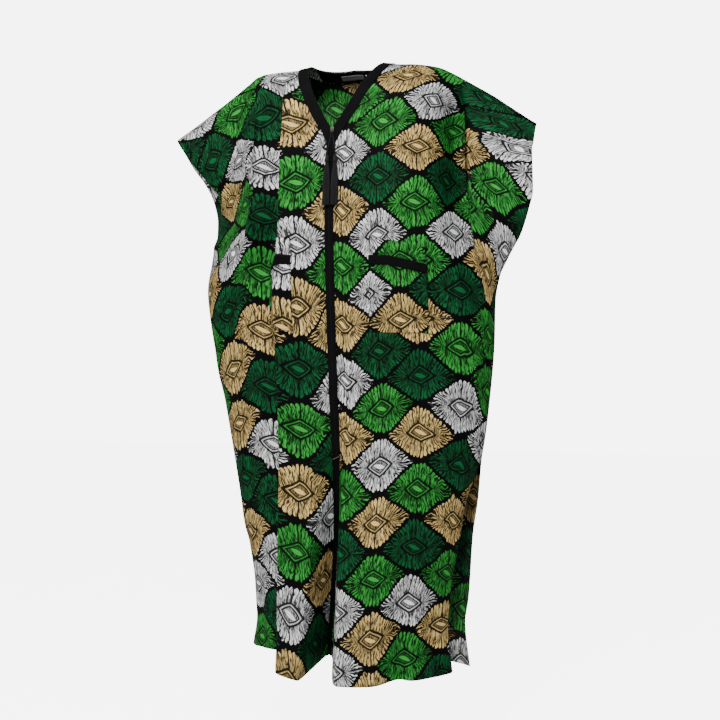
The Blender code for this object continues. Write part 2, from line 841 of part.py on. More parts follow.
SLIDER = {"x": 0.002, "width": 0.009, "height": 0.011, "depth": 0.0036, "taper": 0.80, "off": 0.0013}
SLIDER_BEVEL = 0.0007
SLIDER_END = V_DEPTH + 0.0095


def build_slider(look):
    """Body of the zip slider, lying at the point of the V."""
    off = SLIDER["off"] + SLIDER["depth"] / 2
    centre = before_front(SLIDER["x"], SLIDER_END - SLIDER["height"] / 2, off)
    body = bmesh.new()
    size = Matrix.Diagonal((SLIDER["width"], SLIDER["depth"], SLIDER["height"], 1.0))
    bmesh.ops.create_cube(body, size=1.0, matrix=size)
    low = [vert for vert in body.verts if vert.co.z < 0]
    bmesh.ops.scale(body, vec=(SLIDER["taper"], 1.0, 1.0), verts=low)
    bmesh.ops.bevel(body, geom=body.edges[:], offset=SLIDER_BEVEL, segments=2, profile=0.5, affect="EDGES")
    bmesh.ops.translate(body, vec=centre, verts=body.verts)
    mesh = bpy.data.meshes.new("zip_slider")
    body.to_mesh(mesh)
    body.free()
    mesh.shade_smooth()
    mesh.set_sharp_from_angle(angle=CRISP)
    add_object("zip_slider", mesh, look)


CORD_DIAMETER = 0.003
CORD_STEPS = 8
HEAD_TOP = 0.2287
HEAD_LENGTH = 0.016
TASSEL_END = 0.3457
TASSEL_OFF = 0.0062
CORDS = {
    "left": {"top_x": 0.0038, "head_x": 0.0142},
    "right": {"top_x": 0.0002, "head_x": -0.0052},
}


def cord_route(side):
    """Points down one leg of the doubled pull cord, from under the slider to the tassel's head."""
    cord = CORDS[side]
    start, end = SLIDER_END + GAP, HEAD_TOP - GAP
    first = before_front(cord["top_x"], SLIDER_END, SLIDER["off"] + SLIDER["depth"] / 2)
    last = before_front(cord["head_x"], end, TASSEL_OFF)
    route = []
    for k in range(CORD_STEPS + 1):
        t = k / CORD_STEPS
        x = cord["top_x"] + (cord["head_x"] - cord["top_x"]) * (t + smooth(t)) / 2
        route.append(Vector((x, first.y + (last.y - first.y) * smooth(t), -(start + (end - start) * t))))
    return route


def build_cord(side, look):
    curve = bpy.data.curves.new(f"pull_cord_{side}", "CURVE")
    curve.dimensions = "3D"
    curve.bevel_depth = CORD_DIAMETER / 2
    curve.bevel_resolution = 2
    curve.use_fill_caps = True
    route = cord_route(side)
    spline = curve.splines.new("POLY")
    spline.points.add(len(route) - 1)
    for point, place in zip(spline.points, route):
        point.co = (*place, 1.0)
    curve.materials.append(look)
    made = bpy.data.objects.new(f"pull_cord_{side}", curve)
    bpy.context.scene.collection.objects.link(made)


# Strands of a tassel: rings round its middle, the share of the way out, and how many stand in each.
STRAND_RINGS = ((0.00, 1), (0.36, 6), (0.68, 12), (1.00, 17))
STRAND_RADIUS = 0.0005
STRAND_SIDES = 3
STRAND_UNEVEN = 0.0035
SKIRT_WIDTH = 0.0170
SKIRT_DEPTH = 0.0085
HEAD_RADIUS = 0.0048
HEAD_TAPER = 0.72
HEAD_SIDES = 12

# A strand's stops: how far below the head's end they lie, and what share of the head's or the skirt's size
# the strands reach there.
ROOT_AT = -0.004
ROOT_SHARE = 0.80
KNEE_AT = 0.016
KNEE_WIDTH = 0.80
KNEE_DEPTH = 0.90


def tassel_axis(x, down):
    return before_front(x, down, TASSEL_OFF)


def build_tassel(side, look):
    """A tapered head, with strands whose roots are fused into it."""
    head_x = CORDS[side]["head_x"]
    head = bmesh.new()
    bmesh.ops.create_cone(
        head,
        cap_ends=True,
        segments=HEAD_SIDES,
        radius1=HEAD_RADIUS * HEAD_TAPER,
        radius2=HEAD_RADIUS,
        depth=HEAD_LENGTH,
    )
    bmesh.ops.rotate(head, cent=(0, 0, 0), matrix=Matrix.Rotation(math.pi, 3, "X"), verts=head.verts)
    bmesh.ops.translate(head, vec=tassel_axis(head_x, HEAD_TOP + HEAD_LENGTH / 2), verts=head.verts)
    mesh = bpy.data.meshes.new(f"tassel_{side}")
    head.to_mesh(mesh)
    head.free()
    made = add_object(f"tassel_{side}", mesh, look)

    strands = bmesh.new()
    head_end = HEAD_TOP + HEAD_LENGTH
    for ring, (out, count) in enumerate(STRAND_RINGS):
        for k in range(count):
            turn = 2 * math.pi * (k + 0.5 * ring) / count
            way = Vector((math.cos(turn), math.sin(turn), 0))
            uneven = STRAND_UNEVEN * (math.sin(5 * turn + 2 * ring) - 1)
            stops = (
                (head_end + ROOT_AT, HEAD_RADIUS * ROOT_SHARE, HEAD_RADIUS * ROOT_SHARE),
                (head_end + KNEE_AT, SKIRT_WIDTH / 2 * KNEE_WIDTH, SKIRT_DEPTH / 2 * KNEE_DEPTH),
                (TASSEL_END + uneven, SKIRT_WIDTH / 2, SKIRT_DEPTH / 2),
            )
            rings = []
            for down, half_width, half_depth in stops:
                middle = tassel_axis(head_x, down)
                middle.x += way.x * out * (half_width - STRAND_RADIUS)
                middle.y += way.y * out * (half_depth - STRAND_RADIUS)
                corners = []
                for c in range(STRAND_SIDES):
                    angle = turn + 2 * math.pi * c / STRAND_SIDES
                    away = Vector((math.cos(angle), math.sin(angle), 0)) * STRAND_RADIUS
                    corners.append(strands.verts.new(middle + away))
                rings.append(corners)
            for above, below in zip(rings, rings[1:]):
                for c in range(STRAND_SIDES):
                    d = (c + 1) % STRAND_SIDES
                    strands.faces.new((above[c], below[c], below[d], above[d]))
            strands.faces.new(rings[0])
            strands.faces.new(rings[-1][::-1])
    bmesh.ops.recalc_face_normals(strands, faces=strands.faces)
    strand_mesh = bpy.data.meshes.new(f"strands_{side}")
    strands.to_mesh(strand_mesh)
    strands.free()
    cutter = bpy.data.objects.new(f"strands_{side}", strand_mesh)
    bpy.context.scene.collection.objects.link(cutter)
    cutter.hide_render = True
    cutter.display_type = "WIRE"
    fuse = made.modifiers.new("Fuse", "BOOLEAN")
    fuse.operation = "UNION"
    fuse.object = cutter
    return made


def build():
    for old in list(bpy.data.objects):
        bpy.data.objects.remove(old)
    print_look = material("printed_cotton", PRINT_GREEN, 0.75)
    tape_look = material("black_tape", ROBE_BLACK, 0.8)
    tassel_look = material("tassel_thread", ROBE_BLACK, 0.6)
    metal_look = material("slider_metal", METAL, 0.35, 0.9)
    grey_look = material("label_cloth", LABEL_GREY, 0.7)
    white_look = material("tab_cloth", TAB_WHITE, 0.7)

    fronts = {side: front_lattice(side) for side in ("left", "right")}
    back = back_lattice()
    for side, (points, normals) in fronts.items():
        last = column_numbers(side)["side"]
        wall(f"front_{side}", points, normals, cells((0, last), (0, ROW["hem"])), print_look)
    last = column_numbers("back")["side"]
    wall("back", *back, cells((-last, last), (0, ROW["hem"])), print_look)
    wall("neck_binding", *neck_binding(fronts, back), tape_look, TAPE, ON_CLOTH)
    build_bands(fronts, tape_look)
    build_pockets(fronts, print_look, tape_look)
    build_back_neck(back, tape_look, grey_look, white_look)
    build_slider(metal_look)
    for side in ("left", "right"):
        build_cord(side, tassel_look)
        build_tassel(side, tassel_look)


build()
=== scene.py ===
import math

import bmesh
import bpy
import numpy as np
from mathutils import Matrix, Vector


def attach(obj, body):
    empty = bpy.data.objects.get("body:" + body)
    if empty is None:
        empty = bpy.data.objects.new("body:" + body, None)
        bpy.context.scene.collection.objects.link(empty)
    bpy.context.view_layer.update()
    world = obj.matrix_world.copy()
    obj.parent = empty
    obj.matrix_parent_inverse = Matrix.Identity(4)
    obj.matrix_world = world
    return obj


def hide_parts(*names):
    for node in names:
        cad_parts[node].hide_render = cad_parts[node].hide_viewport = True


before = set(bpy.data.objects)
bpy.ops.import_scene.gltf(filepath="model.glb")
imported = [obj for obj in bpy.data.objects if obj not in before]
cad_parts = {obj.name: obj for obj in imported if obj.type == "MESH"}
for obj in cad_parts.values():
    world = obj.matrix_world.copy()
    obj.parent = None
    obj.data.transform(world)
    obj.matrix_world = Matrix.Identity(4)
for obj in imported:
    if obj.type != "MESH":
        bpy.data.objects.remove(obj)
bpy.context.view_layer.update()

# Sizes, in metres, the same as the solids'.
cloth = 0.002
tape = 0.0015
gap = 0.0003
neckHalf = 0.09
vDepth = 0.1656
length = 1.415
bindingWidth = 0.025
bindingSlant = 0.14  # how much wider the binding is on a level line, since the V slants
bandHalf = 0.0105
backNeckDrop = 0.008
armDepth = 0.056
onCloth = cloth / 2 + gap + tape / 2
onPocket = onCloth + tape + 0.0002
underCloth = -(cloth / 2 + gap + 0.0005)


def smooth(t):
    t = np.clip(t, 0.0, 1.0)
    return t * t * (3 - 2 * t)


class Table:
    # Rows of named columns, read at any value of the first one on a curve that never overshoots them.

    def __init__(self, columns, *rows):
        data = np.array(rows, float)
        self.at = data[:, 0]
        self.curves = {}
        for k, column in enumerate(columns[1:], start=1):
            steps = np.diff(data[:, k]) / np.diff(self.at)
            a, b = steps[:-1], steps[1:]
            same = a * b > 0
            inner = np.where(same, 2 * a * b / np.where(same, a + b, 1.0), 0.0)
            self.curves[column] = (data[:, k], np.concatenate([[steps[0]], inner, [steps[-1]]]))

    def read(self, column, at):
        values, slope = self.curves[column]
        at = np.clip(at, self.at[0], self.at[-1])
        k = np.clip(np.searchsorted(self.at, at, side="right") - 1, 0, len(self.at) - 2)
        step = self.at[k + 1] - self.at[k]
        t = (at - self.at[k]) / step
        rise = values[k + 1] - values[k]
        start, end = slope[k] * step, slope[k + 1] * step
        return values[k] + t * (start + t * ((3 * rise - 2 * start - end) + t * (start + end - 2 * rise)))


# The shoulder line: how far down it lies at each distance out, on the wearer's left and right.
shoulder = Table(
    ("out", "left", "right"),
    (0.0000, -0.0100, -0.0100),
    (0.0900, -0.0015, -0.0045),
    (0.1265, 0.0030, 0.0000),
    (0.1570, 0.0050, 0.0005),
    (0.1880, 0.0095, 0.0015),
    (0.2200, 0.0170, 0.0050),
    (0.2500, 0.0315, 0.0235),
    (0.2830, 0.0510, 0.0452),
    (0.3150, 0.0705, 0.0665),
    (0.3470, 0.0905, 0.0853),
    (0.3790, 0.1130, 0.1055),
    (0.4116, 0.1360, 0.1246),
    (0.4446, 0.1580, 0.1435),
    (0.4526, 0.1620, 0.1490),
)
# The side lines: how far out and how deep the edges of front and back lie, at each distance down.
sideColumns = ("down", "frontOut", "frontY", "backOut", "backY")
sideLines = {
    "left": Table(
        sideColumns,
        (0.1580, 0.4446, 0.000, 0.4446, 0.000),
        (0.190, 0.4420, -0.030, 0.433, 0.030),
        (0.225, 0.4425, -0.045, 0.423, 0.045),
        (0.275, 0.4450, -0.052, 0.420, 0.054),
        (0.315, 0.4465, -0.056, 0.420, 0.056),
        (0.354, 0.4361, -0.048, 0.414, 0.050),
        (0.394, 0.4190, -0.026, 0.406, 0.034),
        (0.418, 0.403, 0.000, 0.403, 0.000),
        (0.459, 0.380, 0.000, 0.380, 0.000),
        (0.502, 0.360, 0.000, 0.360, 0.000),
        (0.556, 0.350, 0.000, 0.350, 0.000),
        (0.650, 0.347, 0.004, 0.347, 0.004),
        (0.790, 0.334, 0.010, 0.334, 0.010),
        (0.911, 0.316, 0.014, 0.316, 0.014),
        (1.020, 0.280, 0.008, 0.301, 0.038),
        (1.100, 0.266, 0.006, 0.288, 0.045),
        (1.250, 0.242, 0.004, 0.276, 0.052),
        (1.310, 0.238, 0.002, 0.267, 0.056),
        (1.415, 0.250, 0.000, 0.2765, 0.064),
    ),
    "right": Table(
        sideColumns,
        (0.149, 0.4526, 0.000, 0.4526, 0.000),
        (0.175, 0.428, -0.022, 0.446, 0.028),
        (0.212, 0.399, -0.030, 0.432, 0.050),
        (0.250, 0.370, -0.015, 0.410, 0.072),
        (0.295, 0.343, 0.010, 0.392, 0.086),
        (0.345, 0.352, 0.050, 0.386, 0.096),
        (0.395, 0.378, 0.078, 0.388, 0.096),
        (0.4125, 0.389, 0.088, 0.389, 0.088),
        (0.450, 0.386, 0.070, 0.386, 0.070),
        (0.483, 0.385, 0.055, 0.385, 0.055),
        (0.520, 0.381, 0.040, 0.381, 0.040),
        (0.557, 0.374, 0.033, 0.374, 0.033),
        (0.630, 0.363, 0.030, 0.363, 0.030),
        (0.790, 0.332, 0.030, 0.332, 0.030),
        (0.902, 0.315, 0.035, 0.315, 0.035),
        (1.020, 0.297, 0.036, 0.297, 0.060),
        (1.100, 0.287, 0.040, 0.287, 0.076),
        (1.145, 0.276, 0.043, 0.279, 0.084),
        (1.250, 0.264, 0.050, 0.272, 0.100),
        (1.320, 0.263, 0.060, 0.273, 0.112),
        (1.400, 0.279, 0.075, 0.283, 0.125),
    ),
}
# The side seam joins front and back between these distances down, from the sleeve to the slit.
seam = {"left": (0.418, 0.911), "right": (0.4125, 0.902)}
# The body: depth of front and back, where the arm's stretch begins and ends, and how full the section is.
sections = Table(
    ("down", "front", "back", "bodyIn", "bodyOut", "power", "root"),
    (0.000, 0.088, 0.095, 0.10, 0.26, 3.0, 0.70),
    (0.050, 0.102, 0.108, 0.12, 0.27, 3.0, 0.70),
    (0.100, 0.115, 0.118, 0.14, 0.28, 3.0, 0.70),
    (0.166, 0.128, 0.126, 0.15, 0.29, 3.0, 0.70),
    (0.250, 0.141, 0.130, 0.17, 0.31, 3.0, 0.65),
    (0.377, 0.149, 0.130, 0.20, 0.34, 3.0, 0.60),
    (0.500, 0.143, 0.128, 0.30, 0.44, 2.8, 0.55),
    (0.647, 0.131, 0.124, 0.42, 0.60, 2.7, 0.55),
    (0.760, 0.119, 0.122, 0.50, 0.70, 2.6, 0.55),
    (0.900, 0.112, 0.124, 0.50, 0.70, 2.4, 0.58),
    (1.060, 0.128, 0.130, 0.50, 0.70, 2.2, 0.65),
    (1.250, 0.160, 0.142, 0.50, 0.70, 2.1, 0.72),
    (1.415, 0.192, 0.156, 0.50, 0.70, 2.0, 0.80),
)
# The folds: where each runs, how deep it is and how far it runs out on each side.
foldColumns = ("down", "x", "depth", "runMinus", "runPlus")
centreFold = Table(
    foldColumns,
    (0.78, 0.000, 0.000, 0.050, 0.045),
    (0.90, -0.002, 0.020, 0.046, 0.040),
    (1.00, -0.008, 0.050, 0.042, 0.032),
    (1.10, -0.016, 0.084, 0.036, 0.038),
    (1.25, -0.031, 0.125, 0.028, 0.058),
    (1.415, -0.045, 0.160, 0.019, 0.078),
)
folds = {
    "front": (
        Table(
            foldColumns,
            (0.03, 0.262, 0.000, 0.070, 0.030),
            (0.10, 0.270, 0.040, 0.060, 0.016),
            (0.20, 0.274, 0.056, 0.056, 0.014),
            (0.27, 0.280, 0.056, 0.056, 0.014),
            (0.39, 0.297, 0.052, 0.052, 0.013),
            (0.49, 0.318, 0.036, 0.046, 0.013),
            (0.60, 0.334, 0.000, 0.040, 0.013),
        ),
        Table(
            foldColumns,
            (0.02, -0.146, 0.000, 0.066, 0.014),
            (0.08, -0.140, 0.040, 0.067, 0.014),
            (0.20, -0.139, 0.062, 0.068, 0.014),
            (0.34, -0.140, 0.064, 0.068, 0.015),
            (0.42, -0.149, 0.062, 0.090, 0.022),
            (0.50, -0.174, 0.064, 0.140, 0.040),
            (0.62, -0.178, 0.064, 0.200, 0.040),
            (0.70, -0.163, 0.062, 0.230, 0.022),
            (0.80, -0.158, 0.064, 0.240, 0.016),
            (1.10, -0.156, 0.088, 0.260, 0.015),
            (1.415, -0.150, 0.125, 0.280, 0.016),
        ),
        centreFold,
        Table(
            foldColumns,
            (1.00, 0.160, 0.000, 0.040, 0.035),
            (1.20, 0.157, 0.014, 0.040, 0.035),
            (1.415, 0.152, 0.034, 0.036, 0.032),
        ),
        Table(
            foldColumns,
            (0.05, -0.212, 0.000, 0.060, 0.012),
            (0.15, -0.210, -0.010, 0.060, 0.012),
            (0.32, -0.208, -0.013, 0.055, 0.012),
            (0.42, -0.206, -0.008, 0.050, 0.012),
            (0.46, -0.206, 0.000, 0.050, 0.012),
        ),
    ),
    "back": (
        Table(
            foldColumns,
            (0.04, 0.245, 0.000, 0.060, 0.030),
            (0.16, 0.250, 0.034, 0.060, 0.030),
            (0.32, 0.264, 0.042, 0.060, 0.030),
            (0.45, 0.285, 0.026, 0.055, 0.030),
            (0.60, 0.300, 0.000, 0.050, 0.030),
        ),
        Table(
            foldColumns,
            (0.04, -0.240, 0.000, 0.034, 0.060),
            (0.16, -0.248, 0.030, 0.034, 0.060),
            (0.32, -0.262, 0.040, 0.034, 0.060),
            (0.45, -0.284, 0.022, 0.034, 0.055),
            (0.60, -0.300, 0.000, 0.034, 0.050),
        ),
        Table(
            foldColumns,
            (0.38, 0.060, 0.000, 0.055, 0.040),
            (0.60, 0.075, 0.020, 0.055, 0.040),
            (0.90, 0.085, 0.038, 0.050, 0.036),
            (1.20, 0.095, 0.056, 0.048, 0.032),
            (1.415, 0.100, 0.070, 0.046, 0.030),
        ),
        Table(
            foldColumns,
            (0.48, -0.040, 0.000, 0.035, 0.055),
            (0.80, -0.060, 0.026, 0.035, 0.050),
            (1.10, -0.072, 0.042, 0.034, 0.048),
            (1.415, -0.085, 0.060, 0.032, 0.046),
        ),
        Table(
            foldColumns,
            (0.80, -0.170, 0.000, 0.040, 0.040),
            (1.10, -0.178, 0.020, 0.040, 0.036),
            (1.415, -0.186, 0.046, 0.038, 0.034),
        ),
    ),
}
# The hem line of front and back.
hems = {
    "front": Table(
        ("x", "down"),
        (-0.282, 1.400),
        (-0.220, 1.393),
        (-0.150, 1.390),
        (-0.132, 1.413),
        (-0.064, 1.415),
        (-0.045, 1.388),
        (-0.010, 1.402),
        (0.035, 1.418),
        (0.100, 1.419),
        (0.152, 1.412),
        (0.200, 1.415),
        (0.250, 1.415),
    ),
    "back": Table(
        ("x", "down"),
        (-0.285, 1.400),
        (-0.186, 1.408),
        (-0.085, 1.406),
        (0.010, 1.416),
        (0.100, 1.406),
        (0.200, 1.416),
        (0.2765, 1.415),
    ),
}
# Where the named columns of each panel's lattice lie, as distances out, and how many cells lead up to each.
stations = {
    "left": Table(
        ("down", "ridge", "pocketIn", "pocketOut", "valley", "sleeve"),
        (0.000, 0.132, 0.158, 0.215, 0.262, 0.276),
        (0.060, 0.108, 0.140, 0.215, 0.266, 0.281),
        (0.120, 0.078, 0.116, 0.217, 0.271, 0.286),
        (0.166, 0.058, 0.100, 0.218, 0.273, 0.288),
        (0.250, 0.044, 0.092, 0.220, 0.278, 0.292),
        (0.390, 0.042, 0.092, 0.222, 0.297, 0.311),
        (0.490, 0.042, 0.092, 0.222, 0.312, 0.330),
        (0.600, 0.042, 0.092, 0.222, 0.305, 0.328),
        (0.800, 0.042, 0.092, 0.208, 0.275, 0.306),
        (1.000, 0.026, 0.085, 0.180, 0.235, 0.260),
        (1.250, 0.028, 0.080, 0.155, 0.198, 0.220),
        (1.415, 0.036, 0.084, 0.150, 0.194, 0.222),
    ),
    "right": Table(
        ("down", "ridge", "pocketIn", "edge", "foot", "sleeve"),
        (0.000, 0.121, 0.127, 0.134, 0.148, 0.214),
        (0.060, 0.100, 0.112, 0.127, 0.141, 0.212),
        (0.120, 0.078, 0.102, 0.125, 0.139, 0.209),
        (0.166, 0.060, 0.098, 0.125, 0.139, 0.208),
        (0.250, 0.052, 0.095, 0.125, 0.139, 0.208),
        (0.390, 0.050, 0.095, 0.127, 0.144, 0.207),
        (0.450, 0.050, 0.095, 0.131, 0.158, 0.215),
        (0.500, 0.050, 0.095, 0.134, 0.174, 0.236),
        (0.620, 0.050, 0.095, 0.138, 0.178, 0.246),
        (0.700, 0.050, 0.095, 0.141, 0.163, 0.235),
        (0.800, 0.050, 0.095, 0.142, 0.158, 0.226),
        (1.100, 0.054, 0.095, 0.141, 0.156, 0.214),
        (1.415, 0.066, 0.095, 0.134, 0.150, 0.206),
    ),
    "back": Table(
        ("down", "neck", "tape", "valley", "sleeve"),
        (0.000, 0.090, 0.115, 0.238, 0.268),
        (0.050, 0.090, 0.115, 0.242, 0.272),
        (0.200, 0.086, 0.125, 0.252, 0.282),
        (0.400, 0.085, 0.140, 0.276, 0.306),
        (0.600, 0.085, 0.150, 0.272, 0.310),
        (0.900, 0.085, 0.150, 0.232, 0.270),
        (1.250, 0.082, 0.142, 0.192, 0.222),
        (1.415, 0.082, 0.142, 0.192, 0.226),
    ),
}
columns = {
    "left": {"binding": 2, "ridge": 4, "pocketIn": 2, "pocketOut": 5, "valley": 3, "sleeve": 2, "side": 5},
    "right": {"binding": 2, "ridge": 3, "pocketIn": 2, "edge": 2, "foot": 3, "sleeve": 4, "side": 6},
    "back": {"neck": 5, "tape": 2, "valley": 4, "sleeve": 2, "side": 4},
}
# Shares of a panel's length: where the shoulder's turn and the binding end, and where the pockets lie.
crestShare = 0.075
bindingEnd = 0.139
pocketTop, pocketBottom = 0.292, 0.4415
sideClosing = 1.7


def columnNumbers(panel):
    numbers = {"inner": 0}
    total = 0
    for name, count in columns[panel].items():
        total += count
        numbers[name] = total
    return numbers


def pick(x, left, right):
    return np.where(x >= 0, left, right)


def sideLine(side, face, down):
    # Distance out and depth of the side line. Along the seam front and back are one line.
    seamTop, seamEnd = seam[side]
    line = sideLines[side]
    sewn = (down >= seamTop) & (down <= seamEnd)
    out = np.where(sewn, line.read("frontOut", down), line.read(face + "Out", down))
    depth = np.where(sewn, line.read("frontY", down), line.read(face + "Y", down))
    return out, depth


def crest(x):
    return pick(x, shoulder.read("left", abs(x)), shoulder.read("right", abs(x)))


def depthOf(face, x, down):
    # Y of the front or of the back, where it hangs.
    sign = -1.0 if face == "front" else 1.0
    outs = {side: sideLine(side, face, down) for side in sideLines}
    edgeOut = pick(x, outs["left"][0], outs["right"][0])
    edgeY = pick(x, outs["left"][1], outs["right"][1]) * sign
    across = np.minimum(abs(x) / edgeOut, 1.0)
    start = sections.read("bodyIn", down)
    arm = smooth((abs(x) - start) / (sections.read("bodyOut", down) - start))
    body = sections.read(face, down)
    roundOff = (1 - across ** sections.read("power", down)) ** sections.read("root", down)
    total = 0.0
    for fold in folds[face]:
        away = x - fold.read("x", down)
        run = np.where(away > 0, fold.read("runPlus", down), fold.read("runMinus", down))
        total = total + fold.read("depth", down) * (1 - smooth(abs(away) / run))
    depth = edgeY + (body + (armDepth - body) * arm - edgeY - total) * roundOff
    # the cloth turns over the shoulder within this run, which shortens towards the sleeve
    first, less = (0.100, 0.045) if face == "front" else (0.070, 0.015)
    crestRun = first - less * smooth((abs(x) - 0.12) / 0.12)
    over = np.clip((down - crest(x)) / crestRun, 0.0, 1.0)
    return sign * depth * np.sqrt(1 - (1 - over) ** 2)


def bandOut(sign, down):
    # How far out a point lies that is half a band along the front from its centre edge.
    steps = np.linspace(0, bandHalf, 40)
    middle = centreFold.read("x", down)
    x = middle[:, None] + sign * steps[None, :]
    y = depthOf("front", x, down[:, None] + 0 * x)
    runs = np.hypot(np.diff(x, axis=1), np.diff(y, axis=1))
    arc = np.concatenate([0 * y[:, :1], np.cumsum(runs, axis=1)], axis=1)
    return np.array([np.interp(bandHalf, a, steps) for a in arc])


def spread(stops, counts, column):
    # Position of a column between the stops. The last stretch closes up towards the side.
    left = column
    for k, count in enumerate(counts):
        if left <= count:
            t = left / count
            if k == len(counts) - 1:
                t = 1 - (1 - t) ** sideClosing
            return stops[k] + (stops[k + 1] - stops[k]) * t
        left -= count
    return stops[-1] + 0 * stops[0]


def columnX(panel, column, down):
    # X of a column of a panel, at an array of heights.
    down = np.atleast_1d(np.asarray(down, float))
    names, counts = list(columns[panel]), list(columns[panel].values())
    if panel == "back":
        side = "left" if column >= 0 else "right"
        stops = [0 * down] + [stations["back"].read(name, down) for name in names[:-1]]
        stops.append(sideLine(side, "back", down)[0])
        return math.copysign(1, column) * spread(stops, counts, abs(column))
    sign = 1 if panel == "left" else -1
    middle = centreFold.read("x", down) * sign
    inner = middle + neckHalf * (1 - np.clip(down / vDepth, 0, 1)) ** 0.85
    above = inner + bindingWidth * (1 + bindingSlant * smooth(down / 0.03))
    leg = bindingWidth * (1 + bindingSlant) + neckHalf * (1 - down / vDepth)
    below = middle + np.maximum(leg, bandOut(sign, down))
    taped = np.where(down < vDepth, above, below)
    stops = [inner, taped] + [stations[panel].read(name, down) for name in names[1:-1]]
    stops.append(sideLine(panel, "front", down)[0])
    return sign * spread(stops, counts, column)


def columnEnds(panel, column):
    # How far down a column starts and ends.
    face = "back" if panel == "back" else "front"
    last = columnNumbers(panel)["side"]
    side = panel if face == "front" else ("left" if column >= 0 else "right")
    if face == "back" and abs(columnX(panel, column, 0.0)[0]) < neckHalf - 1e-9:
        x = columnX(panel, column, 0.0)[0]
        start = crest(x) + backNeckDrop * (1 - abs(x / neckHalf) ** 3)
    else:
        start = 0.0
        for _ in range(25):
            start = float(crest(columnX(panel, column, start)[0]))
    if abs(column) >= last:
        end = sideLines[side].at[-1]
    else:
        end = float(hems[face].read("down", columnX(panel, column, length)[0]))
    return start, end


# Creases: where each starts and ends, in X and in distance down, how it bows, how wide and how deep.
creaseColumns = ("x0", "down0", "x1", "down1", "bow", "width", "depth")
creases = {
    "front": (
        (0.262, 0.05, 0.276, 0.42, 0.006, 0.026, 0.0150),
        (-0.168, 0.03, -0.190, 0.40, -0.006, 0.030, 0.0160),
        (-0.235, 0.20, -0.250, 0.52, 0.006, 0.022, 0.0120),
        (0.235, 0.04, 0.300, 0.36, 0.010, 0.012, 0.0040),
        (0.330, 0.10, 0.345, 0.33, -0.014, 0.013, 0.0045),
        (0.300, 0.09, 0.430, 0.27, 0.020, 0.014, 0.0040),
        (0.400, 0.15, 0.425, 0.33, 0.012, 0.010, -0.0035),
        (0.350, 0.30, 0.395, 0.42, -0.010, 0.011, 0.0050),
        (0.310, 0.34, 0.350, 0.50, 0.008, 0.010, -0.0045),
        (0.270, 0.42, 0.330, 0.62, 0.012, 0.012, 0.0040),
        (0.235, 0.46, 0.290, 0.76, -0.010, 0.016, 0.0045),
        (0.290, 0.60, 0.300, 0.95, 0.006, 0.014, 0.0040),
        (0.250, 0.70, 0.225, 1.20, 0.010, 0.018, -0.0050),
        (0.205, 0.66, 0.190, 1.10, -0.008, 0.016, 0.0045),
        (0.150, 0.66, 0.110, 1.00, 0.010, 0.014, 0.0030),
        (0.110, 0.85, 0.085, 1.40, -0.008, 0.018, 0.0050),
        (0.205, 1.10, 0.215, 1.46, 0.006, 0.016, 0.0060),
        (0.060, 0.05, 0.190, 0.22, 0.016, 0.014, 0.0025),
        (0.100, 0.18, 0.060, 0.42, -0.010, 0.018, 0.0022),
        (0.170, 0.12, 0.160, 0.40, 0.012, 0.022, -0.0028),
        (0.030, 0.36, 0.090, 0.60, -0.010, 0.016, 0.0022),
        (0.060, 0.62, 0.030, 0.95, 0.008, 0.016, 0.0026),
        (-0.060, 0.16, -0.030, 0.42, 0.008, 0.016, 0.0022),
        (-0.100, 0.08, -0.085, 0.36, -0.008, 0.012, 0.0026),
        (-0.085, 0.42, -0.060, 0.78, 0.008, 0.014, 0.0028),
        (-0.110, 0.66, -0.105, 1.20, -0.006, 0.013, 0.0036),
        (-0.070, 0.80, -0.090, 1.40, 0.008, 0.014, 0.0040),
        (-0.240, 0.06, -0.300, 0.30, -0.014, 0.012, 0.0045),
        (-0.300, 0.09, -0.390, 0.20, 0.012, 0.012, 0.0035),
        (-0.220, 0.16, -0.260, 0.40, 0.010, 0.012, -0.0040),
        (-0.330, 0.14, -0.300, 0.33, 0.012, 0.010, 0.0040),
        (-0.270, 0.32, -0.330, 0.46, -0.010, 0.012, 0.0050),
        (-0.230, 0.44, -0.310, 0.66, 0.014, 0.014, 0.0045),
        (-0.300, 0.50, -0.335, 0.80, -0.008, 0.014, -0.0040),
        (-0.250, 0.70, -0.270, 1.10, 0.010, 0.018, 0.0050),
        (-0.205, 0.74, -0.220, 1.30, -0.008, 0.016, 0.0045),
        (-0.290, 0.90, -0.260, 1.30, 0.008, 0.014, 0.0040),
        (-0.240, 1.15, -0.235, 1.46, 0.004, 0.014, 0.0050),
    ),
    "back": (
        (0.100, 0.03, 0.170, 0.30, 0.014, 0.018, 0.0030),
        (-0.090, 0.03, -0.160, 0.28, -0.012, 0.018, 0.0030),
        (0.020, 0.10, 0.050, 0.50, 0.010, 0.022, 0.0024),
        (-0.050, 0.14, -0.020, 0.60, -0.010, 0.020, -0.0026),
        (0.200, 0.30, 0.220, 0.90, 0.010, 0.020, 0.0045),
        (-0.200, 0.34, -0.240, 0.86, -0.012, 0.018, 0.0045),
        (0.300, 0.10, 0.360, 0.34, -0.014, 0.014, 0.0045),
        (-0.310, 0.09, -0.360, 0.30, 0.014, 0.014, 0.0045),
        (0.260, 0.50, 0.300, 1.00, 0.010, 0.018, -0.0045),
        (-0.280, 0.52, -0.270, 1.10, 0.010, 0.018, 0.0040),
        (0.150, 0.70, 0.160, 1.30, 0.006, 0.018, 0.0040),
        (-0.130, 0.80, -0.125, 1.46, 0.006, 0.018, 0.0050),
        (0.030, 0.75, 0.030, 1.46, 0.006, 0.020, 0.0040),
        (0.230, 0.95, 0.235, 1.46, -0.006, 0.016, 0.0050),
        (-0.235, 0.95, -0.240, 1.46, 0.006, 0.016, 0.0050),
    ),
}


